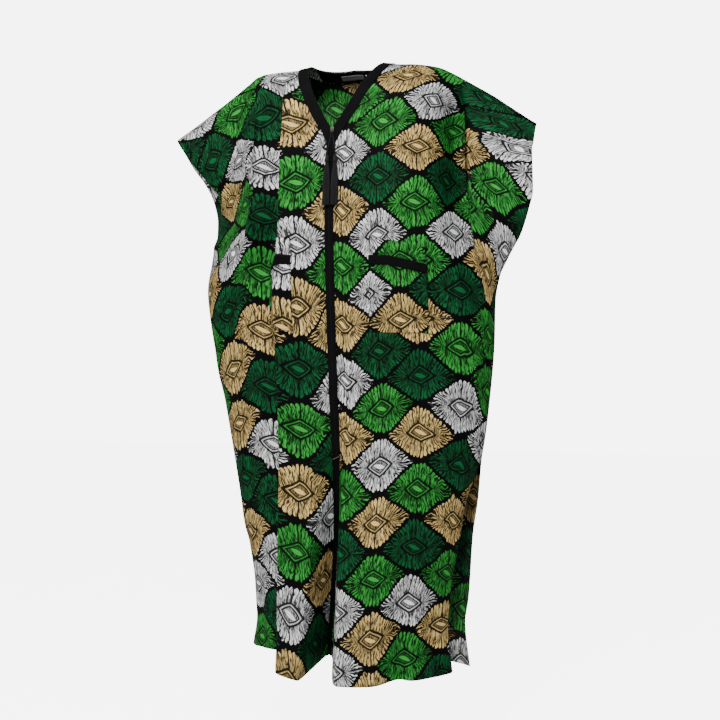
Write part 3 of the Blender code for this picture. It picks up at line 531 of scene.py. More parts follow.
def creaseAt(face, x, down):
    # How far the creases press the cloth in at these points.
    total = np.zeros_like(x)
    for row in creases[face]:
        crease = dict(zip(creaseColumns, row))
        dx, dd = crease["x1"] - crease["x0"], crease["down1"] - crease["down0"]
        long = math.hypot(dx, dd)
        along = ((x - crease["x0"]) * dx + (down - crease["down0"]) * dd) / long**2
        off = ((x - crease["x0"]) * dd - (down - crease["down0"]) * dx) / long
        off = off - crease["bow"] * np.sin(np.pi * np.clip(along, 0, 1))
        taper = smooth(along / 0.3) * smooth((1 - along) / 0.3)
        total += crease["depth"] * np.exp(-((off / crease["width"]) ** 2)) * taper
    return total


fineRows = np.concatenate(
    [
        crestShare * (1 - np.cos(np.pi / 2 * np.linspace(0, 1, 19))),
        crestShare + (1 - crestShare) * np.linspace(0, 1, 181)[1:],
    ]
)


# The print's repeat: from column to column of medallions, and from one medallion of a column to the next.
# For each panel: the lattice column that it is laid from, how far out that is, how its rows start and run.
printPitch = (0.100, 0.1285)
placeColumns = ("atColumn", "out", "rowStart", "rowsAcross", "rows", "rowsBend", "rowsTwist")
printPlaces = {
    "left": (8, 0.092, -7.46, 2.75, 8.23, -0.94, -1.13),
    "right": (5, -0.050, -7.07, -0.86, 7.41, 0.0, 0.0),
    "back": (0, 0.000, -6.54, 0.0, 7.47, 0.0, 0.0),
}
# Which column of the print lies at each distance out.
outColumns = ("out", "column")
printColumns = {
    "left": Table(
        outColumns,
        (-0.10, -3.42),
        (0.0, -2.34),
        (0.092, -1.22),
        (0.20, -0.01),
        (0.32, 1.20),
        (0.90, 6.60),
    ),
    "right": Table(
        outColumns,
        (-0.90, -12.8),
        (-0.43, -8.0),
        (-0.34, -7.05),
        (-0.25, -6.1),
        (-0.078, -4.95),
        (0.03, -3.9),
        (0.13, -2.9),
    ),
    "back": Table(outColumns, (-1.0, -11.1), (0.0, -1.3), (1.0, 8.5)),
}


def normalsOf(points):
    across = np.gradient(points, axis=0)
    along = np.gradient(points, axis=1)
    made = np.cross(across, along)
    return made / (np.linalg.norm(made, axis=2, keepdims=True) + 1e-12)


def panelOf(panel):
    # The fine lattice of one cloth panel: points, outward normals, and its print's coordinates in metres.
    face = "back" if panel == "back" else "front"
    last = columnNumbers(panel)["side"]
    at = np.linspace(-last, last, last * 10 + 1) if panel == "back" else np.linspace(0, last, last * 4 + 1)
    points = np.zeros((len(at), len(fineRows), 3))
    feet = np.zeros((len(at), 1))
    for i, column in enumerate(at):
        start, end = columnEnds(panel, column)
        feet[i] = end
        down = start + (end - start) * fineRows
        x = columnX(panel, column, down)
        points[i] = np.stack([x, depthOf(face, x, down), -down], axis=1)
    outward = -1.0 if panel == "left" else 1.0
    normals = normalsOf(points) * outward
    press = creaseAt(face, points[..., 0], -points[..., 2])
    share = (at - at[0]) / (at[-1] - at[0])
    calm = smooth(share / (0.04 if panel == "back" else 0.06)) * smooth((1 - share) / 0.04)
    calm = calm[:, None] * smooth(fineRows / 0.03)[None, :]  # no crease at the edges
    points = points - normals * (press * calm)[..., None]
    normals = normalsOf(points) * outward
    if face == "front":
        points[:, 0, 1] -= gap / 2
    else:
        points[:, 0, 1] += gap / 2
    acrossStep = np.linalg.norm(np.diff(points, axis=0), axis=2)
    alongStep = np.linalg.norm(np.diff(points, axis=1), axis=2)
    u = np.concatenate([np.zeros((1, len(fineRows))), np.cumsum(acrossStep, axis=0)])
    v = np.concatenate([np.zeros((len(at), 1)), np.cumsum(alongStep, axis=1)], axis=1)
    v = feet - v[:, -1:] + v if panel == "back" else v * (length / v[:, -1:])
    place = dict(zip(placeColumns, printPlaces[panel]))
    middle = int(np.argmin(abs(at - place["atColumn"])))
    u = (u - u[middle : middle + 1]) * (-1 if panel == "right" else 1) + place["out"]
    column = printColumns[panel].read("column", u)
    row = place["rowStart"] + place["rowsAcross"] * u + place["rows"] * v
    row = row + place["rowsBend"] * u * u + place["rowsTwist"] * u * v
    if panel == "right":
        outer = smooth((-u - 0.10) / 0.12)
        column = column - 0.9 * outer * smooth((0.20 - v) / 0.14)
        row = row - 0.3 * outer * smooth((0.45 - v) / 0.30)
    return {
        "at": at,
        "points": points,
        "normals": normals,
        "u": column * printPitch[0],
        "v": row * printPitch[1],
    }


def sample(panel, column, share, lift=0.0):
    # Points, normals and print coordinates at columns and row shares of a panel, moved out by lift.
    i = np.interp(column, panel["at"], np.arange(len(panel["at"])))
    j = np.interp(share, fineRows, np.arange(len(fineRows)))
    i0 = np.clip(i.astype(int), 0, len(panel["at"]) - 2)
    j0 = np.clip(j.astype(int), 0, len(fineRows) - 2)
    s, t = (i - i0), (j - j0)

    def mix(values):
        extra = (None,) * (values.ndim - 2)
        a, b = s[(...,) + extra], t[(...,) + extra]
        top = values[i0, j0] * (1 - a) + values[i0 + 1, j0] * a
        low = values[i0, j0 + 1] * (1 - a) + values[i0 + 1, j0 + 1] * a
        return top * (1 - b) + low * b

    normal = mix(panel["normals"])
    normal = normal / (np.linalg.norm(normal, axis=-1, keepdims=True) + 1e-12)
    return mix(panel["points"]) + normal * lift, normal, mix(panel["u"]), mix(panel["v"])


# Materials


def joining(operation, swapped=False):
    def join(self, other):
        return self.net.math(operation, *((other, self) if swapped else (self, other)))

    return join


class Field:
    # A number that varies over a surface. Sums and products of fields become math nodes.

    def __init__(self, net, socket):
        self.net = net
        self.socket = socket

    def __abs__(self):
        return self.net.math("ABSOLUTE", self)

    __add__ = joining("ADD")
    __radd__ = joining("ADD", True)
    __sub__ = joining("SUBTRACT")
    __rsub__ = joining("SUBTRACT", True)
    __mul__ = joining("MULTIPLY")
    __rmul__ = joining("MULTIPLY", True)
    __truediv__ = joining("DIVIDE")
    __pow__ = joining("POWER")
    __gt__ = joining("GREATER_THAN")
    __lt__ = joining("LESS_THAN")


class Net:
    # A material's node tree, filled by expressions.

    def __init__(self, name):
        self.material = bpy.data.materials.new(name)
        self.material.use_nodes = True
        self.tree = self.material.node_tree
        self.shader = self.tree.nodes["Principled BSDF"]

    def put(self, socket, value):
        if isinstance(value, Field):
            self.tree.links.new(value.socket, socket)
        elif value is not None:
            socket.default_value = value

    def math(self, operation, *values):
        node = self.tree.nodes.new("ShaderNodeMath")
        node.operation = operation
        for socket, value in zip(node.inputs, values):
            self.put(socket, value)
        return Field(self, node.outputs[0])

    def most(self, first, *others):
        for other in others:
            first = self.math("MAXIMUM", first, other)
        return first

    def node(self, kind, output=0, settings=(), **inputs):
        node = self.tree.nodes.new(kind)
        for key, value in settings:
            setattr(node, key, value)
        for key, value in inputs.items():
            self.put(node.inputs[key.replace("_", " ")], value)
        return Field(self, node.outputs[output])

    def join(self, x, y, z=0.0):
        return self.node("ShaderNodeCombineXYZ", X=x, Y=y, Z=z)

    def parts(self, vector):
        node = self.tree.nodes.new("ShaderNodeSeparateXYZ")
        self.put(node.inputs[0], vector)
        return [Field(self, out) for out in node.outputs]

    def noise(self, vector, scale, detail=2.0, rough=0.5):
        return self.node("ShaderNodeTexNoise", Vector=vector, Scale=scale, Detail=detail, Roughness=rough)

    def white(self, x, y, z=0.0):
        return self.node("ShaderNodeTexWhiteNoise", Vector=self.join(x, y, z))

    def blend(self, factor, a, b):
        # A colour between two.
        node = self.tree.nodes.new("ShaderNodeMix")
        node.data_type = "RGBA"
        sockets = {socket.identifier: socket for socket in node.inputs}
        self.put(sockets["Factor_Float"], factor)
        self.put(sockets["A_Color"], a if isinstance(a, Field) else (*a, 1.0))
        self.put(sockets["B_Color"], b if isinstance(b, Field) else (*b, 1.0))
        return Field(self, {out.identifier: out for out in node.outputs}["Result_Color"])

    def either(self, factor, a, b):
        # a where the factor is 0 and b where it is 1.
        return a + (b - a) * factor

    def step(self, value, low, high):
        # 0 below low, 1 above high, smooth between.
        node = self.tree.nodes.new("ShaderNodeMapRange")
        node.interpolation_type = "SMOOTHSTEP"
        for name, given in (("Value", value), ("From Min", low), ("From Max", high)):
            self.put(node.inputs[name], given)
        return Field(self, node.outputs[0])

    def finish(self, colour, roughness, height=None, strength=0.3, distance=0.001):
        self.put(self.shader.inputs["Base Color"], colour if isinstance(colour, Field) else (*colour, 1.0))
        self.put(self.shader.inputs["Roughness"], roughness)
        if height is not None:
            bump = self.node("ShaderNodeBump", Strength=strength, Distance=distance, Height=height)
            self.tree.links.new(bump.socket, self.shader.inputs["Normal"])
        return self.material


# The print: half the size of a medallion, its strokes, and how its lozenge and leaf are drawn.
medallion = {
    "halfWidth": 0.0835,
    "halfHeight": 0.0605,
    "strokes": 44.0,
    "fan": 0.044,  # the strokes fan out from a line this long each side of the middle
    "lozenge": (0.0315, 0.0205),
    "leaf": 0.0047,
    "leafSlope": 0.30,
}
palette = {
    "B": (0.040, 0.350, 0.048),
    "D": (0.006, 0.110, 0.032),
    "T": (0.800, 0.560, 0.210),
    "S": (0.92, 0.92, 0.92),
}
ground = (0.0014, 0.0014, 0.0016)
# The order of the colours (bright green, dark green, tan, silver) down each of ten columns that repeat. The
# chart starts at this column and row of the print.
chartStart = -6.0
colourChart = (
    "DSDBTDSDSDB",
    "TBSTDBTBSTS",
    "BSTBTSDSTDB",
    "BTDTBSTDSBD",
    "BSTBTSTBDSS",
    "BDSSDBSTBTT",
    "STBBTDTBDSB",
    "BDSDBSDTBTD",
    "DTBTBBSTDBS",
    "SBSDTTDTSBB",
)


def chartColour(net, column, row):
    # The colour of a medallion, from the chart.
    across = net.math("FLOORED_MODULO", column - chartStart, float(len(colourChart)))
    down = net.math("FLOORED_MODULO", net.math("FLOOR", row + 0.1) - chartStart, float(len(colourChart[0])))
    colour = None
    for number, order in enumerate(colourChart):
        node = net.tree.nodes.new("ShaderNodeValToRGB")
        ramp = node.color_ramp
        ramp.interpolation = "CONSTANT"
        for k, letter in enumerate(order):
            stop = ramp.elements[k] if k < 2 else ramp.elements.new(k / len(order))
            stop.position = k / len(order)
            stop.color = (*palette[letter], 1.0)
        net.put(node.inputs[0], (down + 0.5) / float(len(order)))
        mine = Field(net, node.outputs[0])
        colour = mine if colour is None else net.blend(across > (number - 0.5), colour, mine)
    return colour


def printedCotton(name, paleness=0.0, shift=(0.0, 0.0)):
    # Cotton printed with a half-drop repeat of feathered medallions.
    net = Net(name)
    uv = net.node("ShaderNodeUVMap", settings=(("uv_map", "cloth"),))
    u0, v0, _ = net.parts(uv)
    u1, v1 = u0 + shift[0], v0 + shift[1]
    moved = net.join(u1, v1)
    u = u1 + (net.noise(moved, 13.0, 1.0) - 0.5) * 0.022
    v = v1 + (net.noise(net.join(v1 + 3.1, u1 + 1.7), 13.0, 1.0) - 0.5) * 0.020
    found = []  # the nearest medallion of the even columns and of the odd ones
    for k in (0.0, 0.5):
        across = u / (2 * printPitch[0]) - k
        down = v / printPitch[1] - k
        i, j = net.math("ROUND", across), net.math("ROUND", down)
        x = (across - i) * (2 * printPitch[0])
        y = (down - j) * printPitch[1]
        out = abs(x / medallion["halfWidth"])
        width = net.most(net.math("COSINE", out * (math.pi / 2)), 0.0) ** 0.80
        beyond = net.most(out - 1.0, 0.0)
        size = abs(y / medallion["halfHeight"]) + 1.0 - width + beyond
        found.append((x, y, size, i * 2 + 2 * k, j + k))
    (x0, y0, size0, i0, j0), (x1, y1, size1, i1, j1) = found
    second = size1 < size0  # the nearer of the two
    x, y = net.either(second, x0, x1), net.either(second, y0, y1)
    size = net.either(second, size0, size1)
    i, j = net.either(second, i0, i1), net.either(second, j0, j1)
    key = i * 7.0 + j * 3.0  # each medallion has its own random strokes
    rim = net.most(size, 1.05 - abs(size1 - size0) * 0.75)

    # Feather strokes fan out from a line through the middle, on curves that meet the rim squarely.
    count, focus = medallion["strokes"], medallion["fan"]
    total = x * x + y * y + focus * focus
    root = net.math("SQRT", net.most(total * total - x * x * (4 * focus * focus), 1e-9))
    lean = x / net.math("SQRT", (total + root) * 0.5)
    around = net.math("ARCCOSINE", net.math("MINIMUM", net.most(lean, -1.0), 1.0))
    flat = abs(lean) ** 4.0
    sway = (net.noise(net.join(x, y, key), 60.0, 1.0) - 0.5) * (flat * 0.05 + 0.022)
    turn = around * net.math("SIGN", y) / (2 * math.pi) + sway
    wedge = turn * count
    stroke = net.math("FLOOR", wedge)
    middle = abs(wedge - stroke - 0.5)
    ragged = net.white(stroke, key)
    reach = 1.0 - ragged * 0.10 - (middle ** 2.0) * 0.55  # round tips
    inside = net.step(reach - rim, -0.008, 0.012)
    width = net.math("SQRT", root) * (2 * math.pi / count)
    fromSide = (0.5 - middle) * width
    starts = 0.30 + net.white(stroke, key, 3.0) * 0.28
    slitWidth = 0.00035 + (size - 0.25) * (0.0009 + flat * 0.0032)
    # Dark slits between the strokes, dry patches in the ink, and dark lines out to the points
    slit = net.step(slitWidth - fromSide, -0.00025, 0.00025) * net.step(size - starts, -0.02, 0.05)
    streak = net.noise(net.join(wedge * 1.15, size * 1.5, key), 2.6, 2.0, 0.6)
    fine = net.noise(net.join(wedge * 2.7, size * 2.6, key), 2.2, 1.0, 0.5)
    cover = 0.560 - net.math("MINIMUM", size, 1.0) * 0.13
    shade = net.step(streak * 0.62 + fine * 0.38, cover - 0.035, cover + 0.035)
    wave = (net.noise(net.join(x, key, 1.0), 38.0, 1.0) - 0.5) * 0.010
    wing = net.step(0.0010 + size * 0.0016 - abs(y - wave), -0.0004, 0.0004) * net.step(size, 0.30, 0.42)
    spine = net.step(0.0015 - abs(x), -0.0004, 0.0004) * net.step(size, 0.30, 0.40)

    # The lozenge in the middle: outlined twice, with a small leaf
    eyeWidth, eyeHeight = medallion["lozenge"]
    eye = abs(x / eyeWidth) ** 1.12 + abs(y / eyeHeight) ** 1.12
    outline = net.step(0.14 - abs(eye - 1.04), -0.03, 0.03)
    ring = net.step(0.10 - abs(eye - 0.66), -0.03, 0.03)
    across = abs(y - x * medallion["leafSlope"])
    leaf = net.step(medallion["leaf"] - across - abs(x) ** 2.0 * 22.0, -0.0004, 0.0004)
    vein = net.step(0.0004 - abs(y - x * 0.35), -0.0002, 0.0002)
    hatched = net.step(fine, 0.44, 0.56) * 0.30
    core = net.step(0.56 - eye, -0.02, 0.02) * (1.0 - leaf) * (1.0 - hatched)
    bare = net.step(eye, 1.02, 1.12)
    dark = net.most(outline, ring, core, vein * leaf * 0.6, net.most(slit, wing, spine) * bare)

    colour = chartColour(net, i, j)
    tone = net.step(fine + (size - 0.5) * 0.25 + (ragged - 0.5) * 0.3, 0.25, 0.80)
    colour = net.blend((1.0 - tone) * 0.62 * net.step(eye, 0.50, 0.80), colour, ground)
    colour = net.blend((1.0 - shade) * 0.90 * bare, colour, ground)
    colour = net.blend(dark * 0.97, colour, ground)
    colour = net.blend(1.0 - inside, colour, ground)
    if paleness:
        colour = net.blend(paleness, colour, (0.16, 0.17, 0.16))
    weave = net.math("SINE", u0 * 9000.0) + net.math("SINE", v0 * 9000.0)
    crumple = net.noise(uv, 55.0, 4.0, 0.55)
    made = net.finish(colour, 0.72, weave * 0.04 + crumple, 0.16, 0.0012)
    net.shader.inputs["Specular IOR Level"].default_value = 0.06
    return made


def plainCloth(name, colour, roughness=0.85, speck=0.35, scale=900.0):
    # Matte woven or twisted cloth in one colour, a little uneven.
    net = Net(name)
    place = net.node("ShaderNodeTexCoord", output=3)
    fine = net.noise(place, scale, 2.0, 0.6)
    broad = net.noise(place, 28.0, 3.0, 0.5)
    lighter = tuple(min(1.0, c * 2.0 + 0.002) for c in colour)
    mixed = net.blend(net.step(fine, 0.35, 0.75) * speck, colour, lighter)
    mixed = net.blend(net.step(broad, 0.4, 0.7) * 0.25, mixed, lighter)
    made = net.finish(mixed, roughness, fine + broad * 0.6, 0.35, 0.0008)
    net.shader.inputs["Specular IOR Level"].default_value = 0.06
    return made


def metalLook(name, colour, roughness):
    net = Net(name)
    place = net.node("ShaderNodeTexCoord", output=3)
    worn = net.noise(place, 900.0, 3.0, 0.6)
    mixed = net.blend(net.step(worn, 0.4, 0.7) * 0.3, colour, tuple(c * 0.6 for c in colour))
    net.shader.inputs["Metallic"].default_value = 0.9
    return net.finish(mixed, roughness, worn, 0.1, 0.0002)


looks = {
    "print": printedCotton("printedCotton"),
    "printInside": printedCotton("printedCottonInside", 0.04),
    "pocketLeft": printedCotton("pocketCottonLeft", 0.0, (0.041, 0.0)),
    "pocketRight": printedCotton("pocketCottonRight", 0.0, (0.025, -0.044)),
    "edge": plainCloth("cutEdge", (0.006, 0.010, 0.007)),
    "tape": plainCloth("blackTape", (0.0022, 0.0021, 0.0026)),
    "thread": plainCloth("tasselThread", (0.0120, 0.0120, 0.0130), 0.6, 0.6, 1500.0),
    "cord": plainCloth("cordThread", (0.0120, 0.0120, 0.0130), 0.65, 0.5, 1500.0),
    "stitch": plainCloth("sewingThread", (0.004, 0.004, 0.005), 0.5),
    "label": plainCloth("labelCloth", (0.16, 0.16, 0.16), 0.75),
    "tab": plainCloth("tabCloth", (0.70, 0.70, 0.68), 0.75),
    "teeth": metalLook("zipTeeth", (0.05, 0.05, 0.05), 0.4),
    "slider": metalLook("sliderMetal", (0.11, 0.095, 0.075), 0.45),
}
print("stage: materials")


# Building


def shellOf(name, points, u, v, look, thickness, flip=False, inner=None, rim=None):
    # A grid of points as a thin cloth shell with its own print coordinates.
    nx, ny = points.shape[0] - 1, points.shape[1] - 1
    grid = bmesh.new()
    bmesh.ops.create_grid(grid, x_segments=nx, y_segments=ny, size=1.0)
    if flip:
        bmesh.ops.reverse_faces(grid, faces=grid.faces)
    mesh = bpy.data.meshes.new(name)
    grid.to_mesh(mesh)
    grid.free()
    flat = np.empty(len(mesh.vertices) * 3)
    mesh.vertices.foreach_get("co", flat)
    flat = flat.reshape(-1, 3)
    i = np.rint((flat[:, 0] + 1) / 2 * nx).astype(int)
    j = np.rint((flat[:, 1] + 1) / 2 * ny).astype(int)
    mesh.vertices.foreach_set("co", points[i, j].ravel())
    corner = np.empty(len(mesh.loops), int)
    mesh.loops.foreach_get("vertex_index", corner)
    layer = mesh.uv_layers.new(name="cloth")
    layer.data.foreach_set("uv", np.stack([u[i, j][corner], v[i, j][corner]], axis=1).ravel())
    mesh.shade_smooth()
    mesh.materials.append(look)
    mesh.materials.append(inner or look)
    mesh.materials.append(rim or inner or look)
    piece = bpy.data.objects.new(name, mesh)
    bpy.context.scene.collection.objects.link(piece)
    solid = piece.modifiers.new("Cloth", "SOLIDIFY")
    solid.thickness = thickness
    solid.offset = 0.0
    solid.use_even_offset = False
    solid.material_offset = 1
    solid.material_offset_rim = 2
    return piece


def settle(piece, nodes):
    # A finished piece takes the place of its solids.
    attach(piece, "root")
    if nodes:
        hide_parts(*nodes)
    return piece


def areaOf(points):
    a, b, c, d = points[:-1, :-1], points[1:, :-1], points[1:, 1:], points[:-1, 1:]
    half = np.linalg.norm(np.cross(b - a, c - a), axis=2) + np.linalg.norm(np.cross(c - a, d - a), axis=2)
    return float(half.sum() / 2)


def declare(points):
    # Works out the area of a piece of cloth; the result is not kept.
    areaOf(points)


panels = {name: panelOf(name) for name in ("left", "right", "back")}
print("stage: lattices")

nodeOf = {"left": "front_left", "right": "front_right", "back": "back"}
clothThickness = 0.0008
for name, panel in panels.items():
    points, sides = panel["points"], (looks["printInside"], looks["edge"])
    piece = shellOf(
        f"{name}Cloth", points, panel["u"], panel["v"], looks["print"], clothThickness, name == "left", *sides
    )
    settle(piece, [nodeOf[name]])
    declare(points)
    print("stage:", name, len(piece.data.vertices), "points")


def layOn(name, side, patch, node):
    # A patch on a panel: columns between two edges, rows along shares that may slant with the column.
    first, last = patch["edges"]
    across, down = (np.linspace(0, 1, count + 1) for count in patch["fine"])
    column = first + (last - first) * across[:, None] + 0 * down[None, :]
    top, bottom = patch["shares"](across[:, None])
    points, _, u, v = sample(panels[side], column, top + (bottom - top) * down[None, :], patch["lift"])
    piece = shellOf(name, points, u, v, looks[patch["look"]], patch["thickness"], side == "left")
    settle(piece, [node])
    if min(patch["fine"]) > 4:  # the tab is too small to count as a sheet
        declare(points)


# The pockets, their bands and the front bands.
pocketRow = (pocketBottom - pocketTop) / 4
topSlant = {"left": 0.40, "right": 0.0}  # of a row, where the top edge drops outwards
for side, outer in (("left", "pocketOut"), ("right", "foot")):
    numbers = columnNumbers(side)
    edges = (numbers["pocketIn"], numbers[outer])
    slant = topSlant[side]

    def patchShares(across):
        return pocketTop + slant * pocketRow * across**1.5, pocketBottom + 0 * across

    def mouthShares(across):
        mouth = pocketTop + pocketRow * (0.74 + 0.34 * np.maximum(0, (across - 0.35) / 0.65))
        return mouth, mouth + 0.40 * pocketRow

    def bandShares(across):
        return bindingEnd + 0.0004 + 0 * across, 1.0 + 0 * across

    pocket = {
        "edges": edges,
        "shares": patchShares,
        "lift": onCloth,
        "fine": (40, 64),
        "look": "pocketLeft" if side == "left" else "pocketRight",
        "thickness": 0.0009,
    }
    mouth = {**pocket, "shares": mouthShares, "lift": onPocket, "fine": (40, 8), "look": "tape"}
    band = {**mouth, "shares": bandShares, "lift": onCloth, "fine": (8, 200)}
    band["edges"] = (0.0, numbers["binding"])
    layOn(f"{side}Pocket", side, pocket, f"pocket_{side}")
    layOn(f"{side}PocketBand", side, mouth, f"pocket_band_{side}")
    layOn(f"{side}Band", side, band, f"front_band_{side}")
print("stage: pockets and bands")


def bindingPoints():
    # The neck binding as one strip: down the left front, round the back neck and down the right front.
    across = np.linspace(0, 1, 9)
    numbers = {name: columnNumbers(name) for name in panels}
    fine = np.concatenate([np.linspace(bindingEnd, 0.012, 60), np.linspace(0.012, 0.0, 14)[1:]])

    def rowDown(side, share):
        return sample(panels[side], across * numbers[side]["binding"], share + 0 * across, onCloth)[0]

    rows = [rowDown("left", share) for share in fine]
    neck, taped = numbers["back"]["neck"], numbers["back"]["tape"]
    rowShare = crestShare * (1 - math.cos(math.pi / 2 * 2 / 6))
    turn = np.linspace(0, 1, 90)[1:-1]
    for t in turn:
        swing = 1 - 2 * t
        inner = neck * swing
        outer = taped * np.sign(swing) * min(1.0, abs(swing) * 1.12)
        deep = rowShare * (1 - abs(swing) ** 6)
        column = inner + (outer - inner) * across
        rows.append(sample(panels["back"], column, deep * across, onCloth)[0])
    rows += [rowDown("right", share) for share in fine[::-1]]
    points = np.array(rows)
    crestRow = len(fine) - 1
    for row in (crestRow, crestRow + len(turn) + 1):
        points[row] = (points[row - 1] + points[row + 1]) / 2
    return points


binding = bindingPoints()
crown = np.sin(np.pi * np.linspace(0, 1, binding.shape[1])) ** 0.6 * 0.0006
binding = binding + normalsOf(binding) * crown[None, :, None]
steps = np.linalg.norm(np.diff(binding, axis=0), axis=2).cumsum(axis=0)
bindingV = np.concatenate([np.zeros((1, binding.shape[1])), steps])
bindingU = np.linspace(0, bindingWidth, binding.shape[1])[None, :] + 0 * bindingV
piece = shellOf("neckBinding", binding, bindingU, bindingV, looks["tape"], 0.0009)
settle(piece, ["neck_binding"])
declare(binding)

# The tape, the label and the tab inside the back neck, by lattice columns and rows.
backNeck = columnNumbers("back")["neck"]
rowOf = [crestShare * (1 - math.cos(math.pi / 2 * k / 6)) for k in range(7)]


def rowsBetween(top, bottom):
    shares = np.interp((top, bottom), np.arange(len(rowOf)), rowOf)
    return lambda across: (shares[0] + 0 * across, shares[1] + 0 * across)


neckTape = {
    "edges": (-backNeck, backNeck),
    "shares": rowsBetween(0, 2.2),
    "lift": underCloth,
    "fine": (60, 8),
    "look": "tape",
    "thickness": 0.0007,
}
neckLabel = {
    "edges": (-2.3, 0.9),
    "shares": rowsBetween(1.1, 1.9),
    "lift": underCloth - 0.0014,
    "fine": (24, 6),
    "look": "label",
    "thickness": 0.0006,
}
sizeTab = {
    "edges": (1.18, 1.50),
    "shares": rowsBetween(1.1, 2.25),
    "lift": underCloth - 0.0014,
    "fine": (4, 8),
    "look": "tab",
    "thickness": 0.0005,
}
layOn("backNeckTape", "back", neckTape, "back_neck_tape")
layOn("neckLabel", "back", neckLabel, "neck_label")
layOn("sizeTab", "back", sizeTab, "size_tab")
print("stage: neck")


# The zip: slider, teeth and bottom stop


def beforeFront(x, down, off):
    y = float(depthOf("front", np.array([x]), np.array([down]))[0])
    return Vector((x, y - cloth / 2 - gap - tape - off, -down))


slider = {
    "x": 0.002,
    "end": vDepth + 0.0095,
    "width": 0.009,
    "height": 0.011,
    "depth": 0.0036,
    "taper": 0.80,
    "off": 0.0013,
    "bridge": (0.0030, 0.0018, 0.0075),
    "bevel": 0.0006,
}


def addPiece(name, mesh, look):
    mesh.materials.append(look)
    mesh.shade_smooth()
    mesh.set_sharp_from_angle(angle=math.radians(40))
    piece = bpy.data.objects.new(name, mesh)
    bpy.context.scene.collection.objects.link(piece)
    return piece


def meshOf(name, built):
    mesh = bpy.data.meshes.new(name)
    built.to_mesh(mesh)
    built.free()
    return mesh


def buildSlider():
    # A slider with a raised bridge over its body.
    built = bmesh.new()
    width, height, depth = slider["width"], slider["height"], slider["depth"]
    middle = beforeFront(slider["x"], slider["end"] - height / 2, slider["off"] + depth / 2)
    size = (width, depth * 0.55, height)
    bmesh.ops.create_cube(built, size=1.0, matrix=Matrix.Diagonal((*size, 1.0)))
    low = [vert for vert in built.verts if vert.co.z < 0]
    bmesh.ops.scale(built, vec=(slider["taper"], 1.0, 1.0), verts=low)
    bmesh.ops.translate(built, vec=(0, depth * 0.2, 0), verts=built.verts)
    bridge = Matrix.Translation((0, -depth * 0.22, 0)) @ Matrix.Diagonal((*slider["bridge"], 1.0))
    bmesh.ops.create_cube(built, size=1.0, matrix=bridge)
    edges, worn = built.edges[:], slider["bevel"]
    bmesh.ops.bevel(built, geom=edges, offset=worn, segments=3, profile=0.5, affect="EDGES")
    bmesh.ops.translate(built, vec=middle, verts=built.verts)
    piece = addPiece("zipSlider", meshOf("zipSlider", built), looks["slider"])
    return settle(piece, ["zip_slider"])


buildSlider()


def capsule(built, start, end, radius, sides=4, swell=1.0):
    # A short straight stitch or tooth between two points.
    way = end - start
    turned = way.to_track_quat("Z", "Y").to_matrix().to_4x4()
    place = Matrix.Translation((start + end) / 2) @ turned
    bmesh.ops.create_cone(
        built,
        cap_ends=True,
        segments=sides,
        radius1=radius,
        radius2=radius * swell,
        depth=way.length,
        matrix=place,
    )


teeth = {"end": 0.918, "pitch": 0.0022, "halfWidth": 0.0011, "radius": 0.00055, "stopRadius": 0.0011}


def centreX(down):
    return float(centreFold.read("x", np.array([down]))[0])


def buildTeeth():
    # Coil teeth down the gap between the two bands, from the slider to the bottom stop.
    built = bmesh.new()
    down = slider["end"] + 0.002
    k = 0
    while down < teeth["end"]:
        side = teeth["halfWidth"] * (1 if k % 2 else -1)
        inner = beforeFront(centreX(down) - side, down, -0.0006)
        outer = beforeFront(centreX(down) + side * 0.6, down, -0.0006)
        capsule(built, inner, outer, teeth["radius"])
        down += teeth["pitch"]
        k += 1
    return settle(addPiece("zipTeeth", meshOf("zipTeeth", built), looks["teeth"]), [])


def buildStop():
    # The pale bottom stop of the zip, a small staple lying askew across both bands.
    built = bmesh.new()
    middle = centreX(teeth["end"])
    start = beforeFront(middle - 0.0075, teeth["end"] + 0.0035, 0.0007)
    end = beforeFront(middle + 0.0085, teeth["end"] - 0.0035, 0.0007)
    capsule(built, start, end, teeth["stopRadius"], 8)
    return settle(addPiece("zipStop", meshOf("zipStop", built), looks["slider"]), [])


buildTeeth()
buildStop()

# The pull cords and tassels. Lengths are distances down from the shoulder.
cords = {
    "left": {"topX": 0.0038, "headX": 0.0142, "seed": 11},
    "right": {"topX": 0.0002, "headX": -0.0052, "seed": 23},
}
cordDiameter = 0.003
tassel = {
    "top": 0.2287,
    "head": 0.016,
    "end": 0.3457,
    "off": 0.0062,
    "width": 0.0178,
    "depth": 0.0095,
    "strands": 190,
    "strandRadius": 0.0005,
    "rootRadius": 0.0036,
    "windRadius": 0.0053,
}


def cordRoute(side, count=16):
    cord = cords[side]
    start, end = slider["end"] + gap, tassel["top"] - gap
    first = beforeFront(cord["topX"], slider["end"], slider["off"] + slider["depth"] / 2)
    last = beforeFront(cord["headX"], end, tassel["off"])
    route = []
    for k in range(count + 1):
        t = k / count
        eased = float(smooth(t))
        x = cord["topX"] + (cord["headX"] - cord["topX"]) * (0.5 * t + 0.5 * eased)
        route.append(Vector((x, first.y + (last.y - first.y) * eased, -(start + (end - start) * t))))
    return route


def ringOf(built, middle, radius, count, turn=0.0, lobe=0.0, phase=0.0):
    ring = []
    for c in range(count):
        angle = turn + 2 * math.pi * c / count
        far = radius * (1 + lobe * math.sin(8 * angle + phase))
        ring.append(built.verts.new(middle + Vector((math.cos(angle), math.sin(angle), 0)) * far))
    return ring


def tubeOf(built, rings):
    count = len(rings[0])
    for above, below in zip(rings, rings[1:]):
        for c in range(count):
            built.faces.new((above[c], below[c], below[(c + 1) % count], above[(c + 1) % count]))
    built.faces.new(rings[0])
    built.faces.new(rings[-1][::-1])


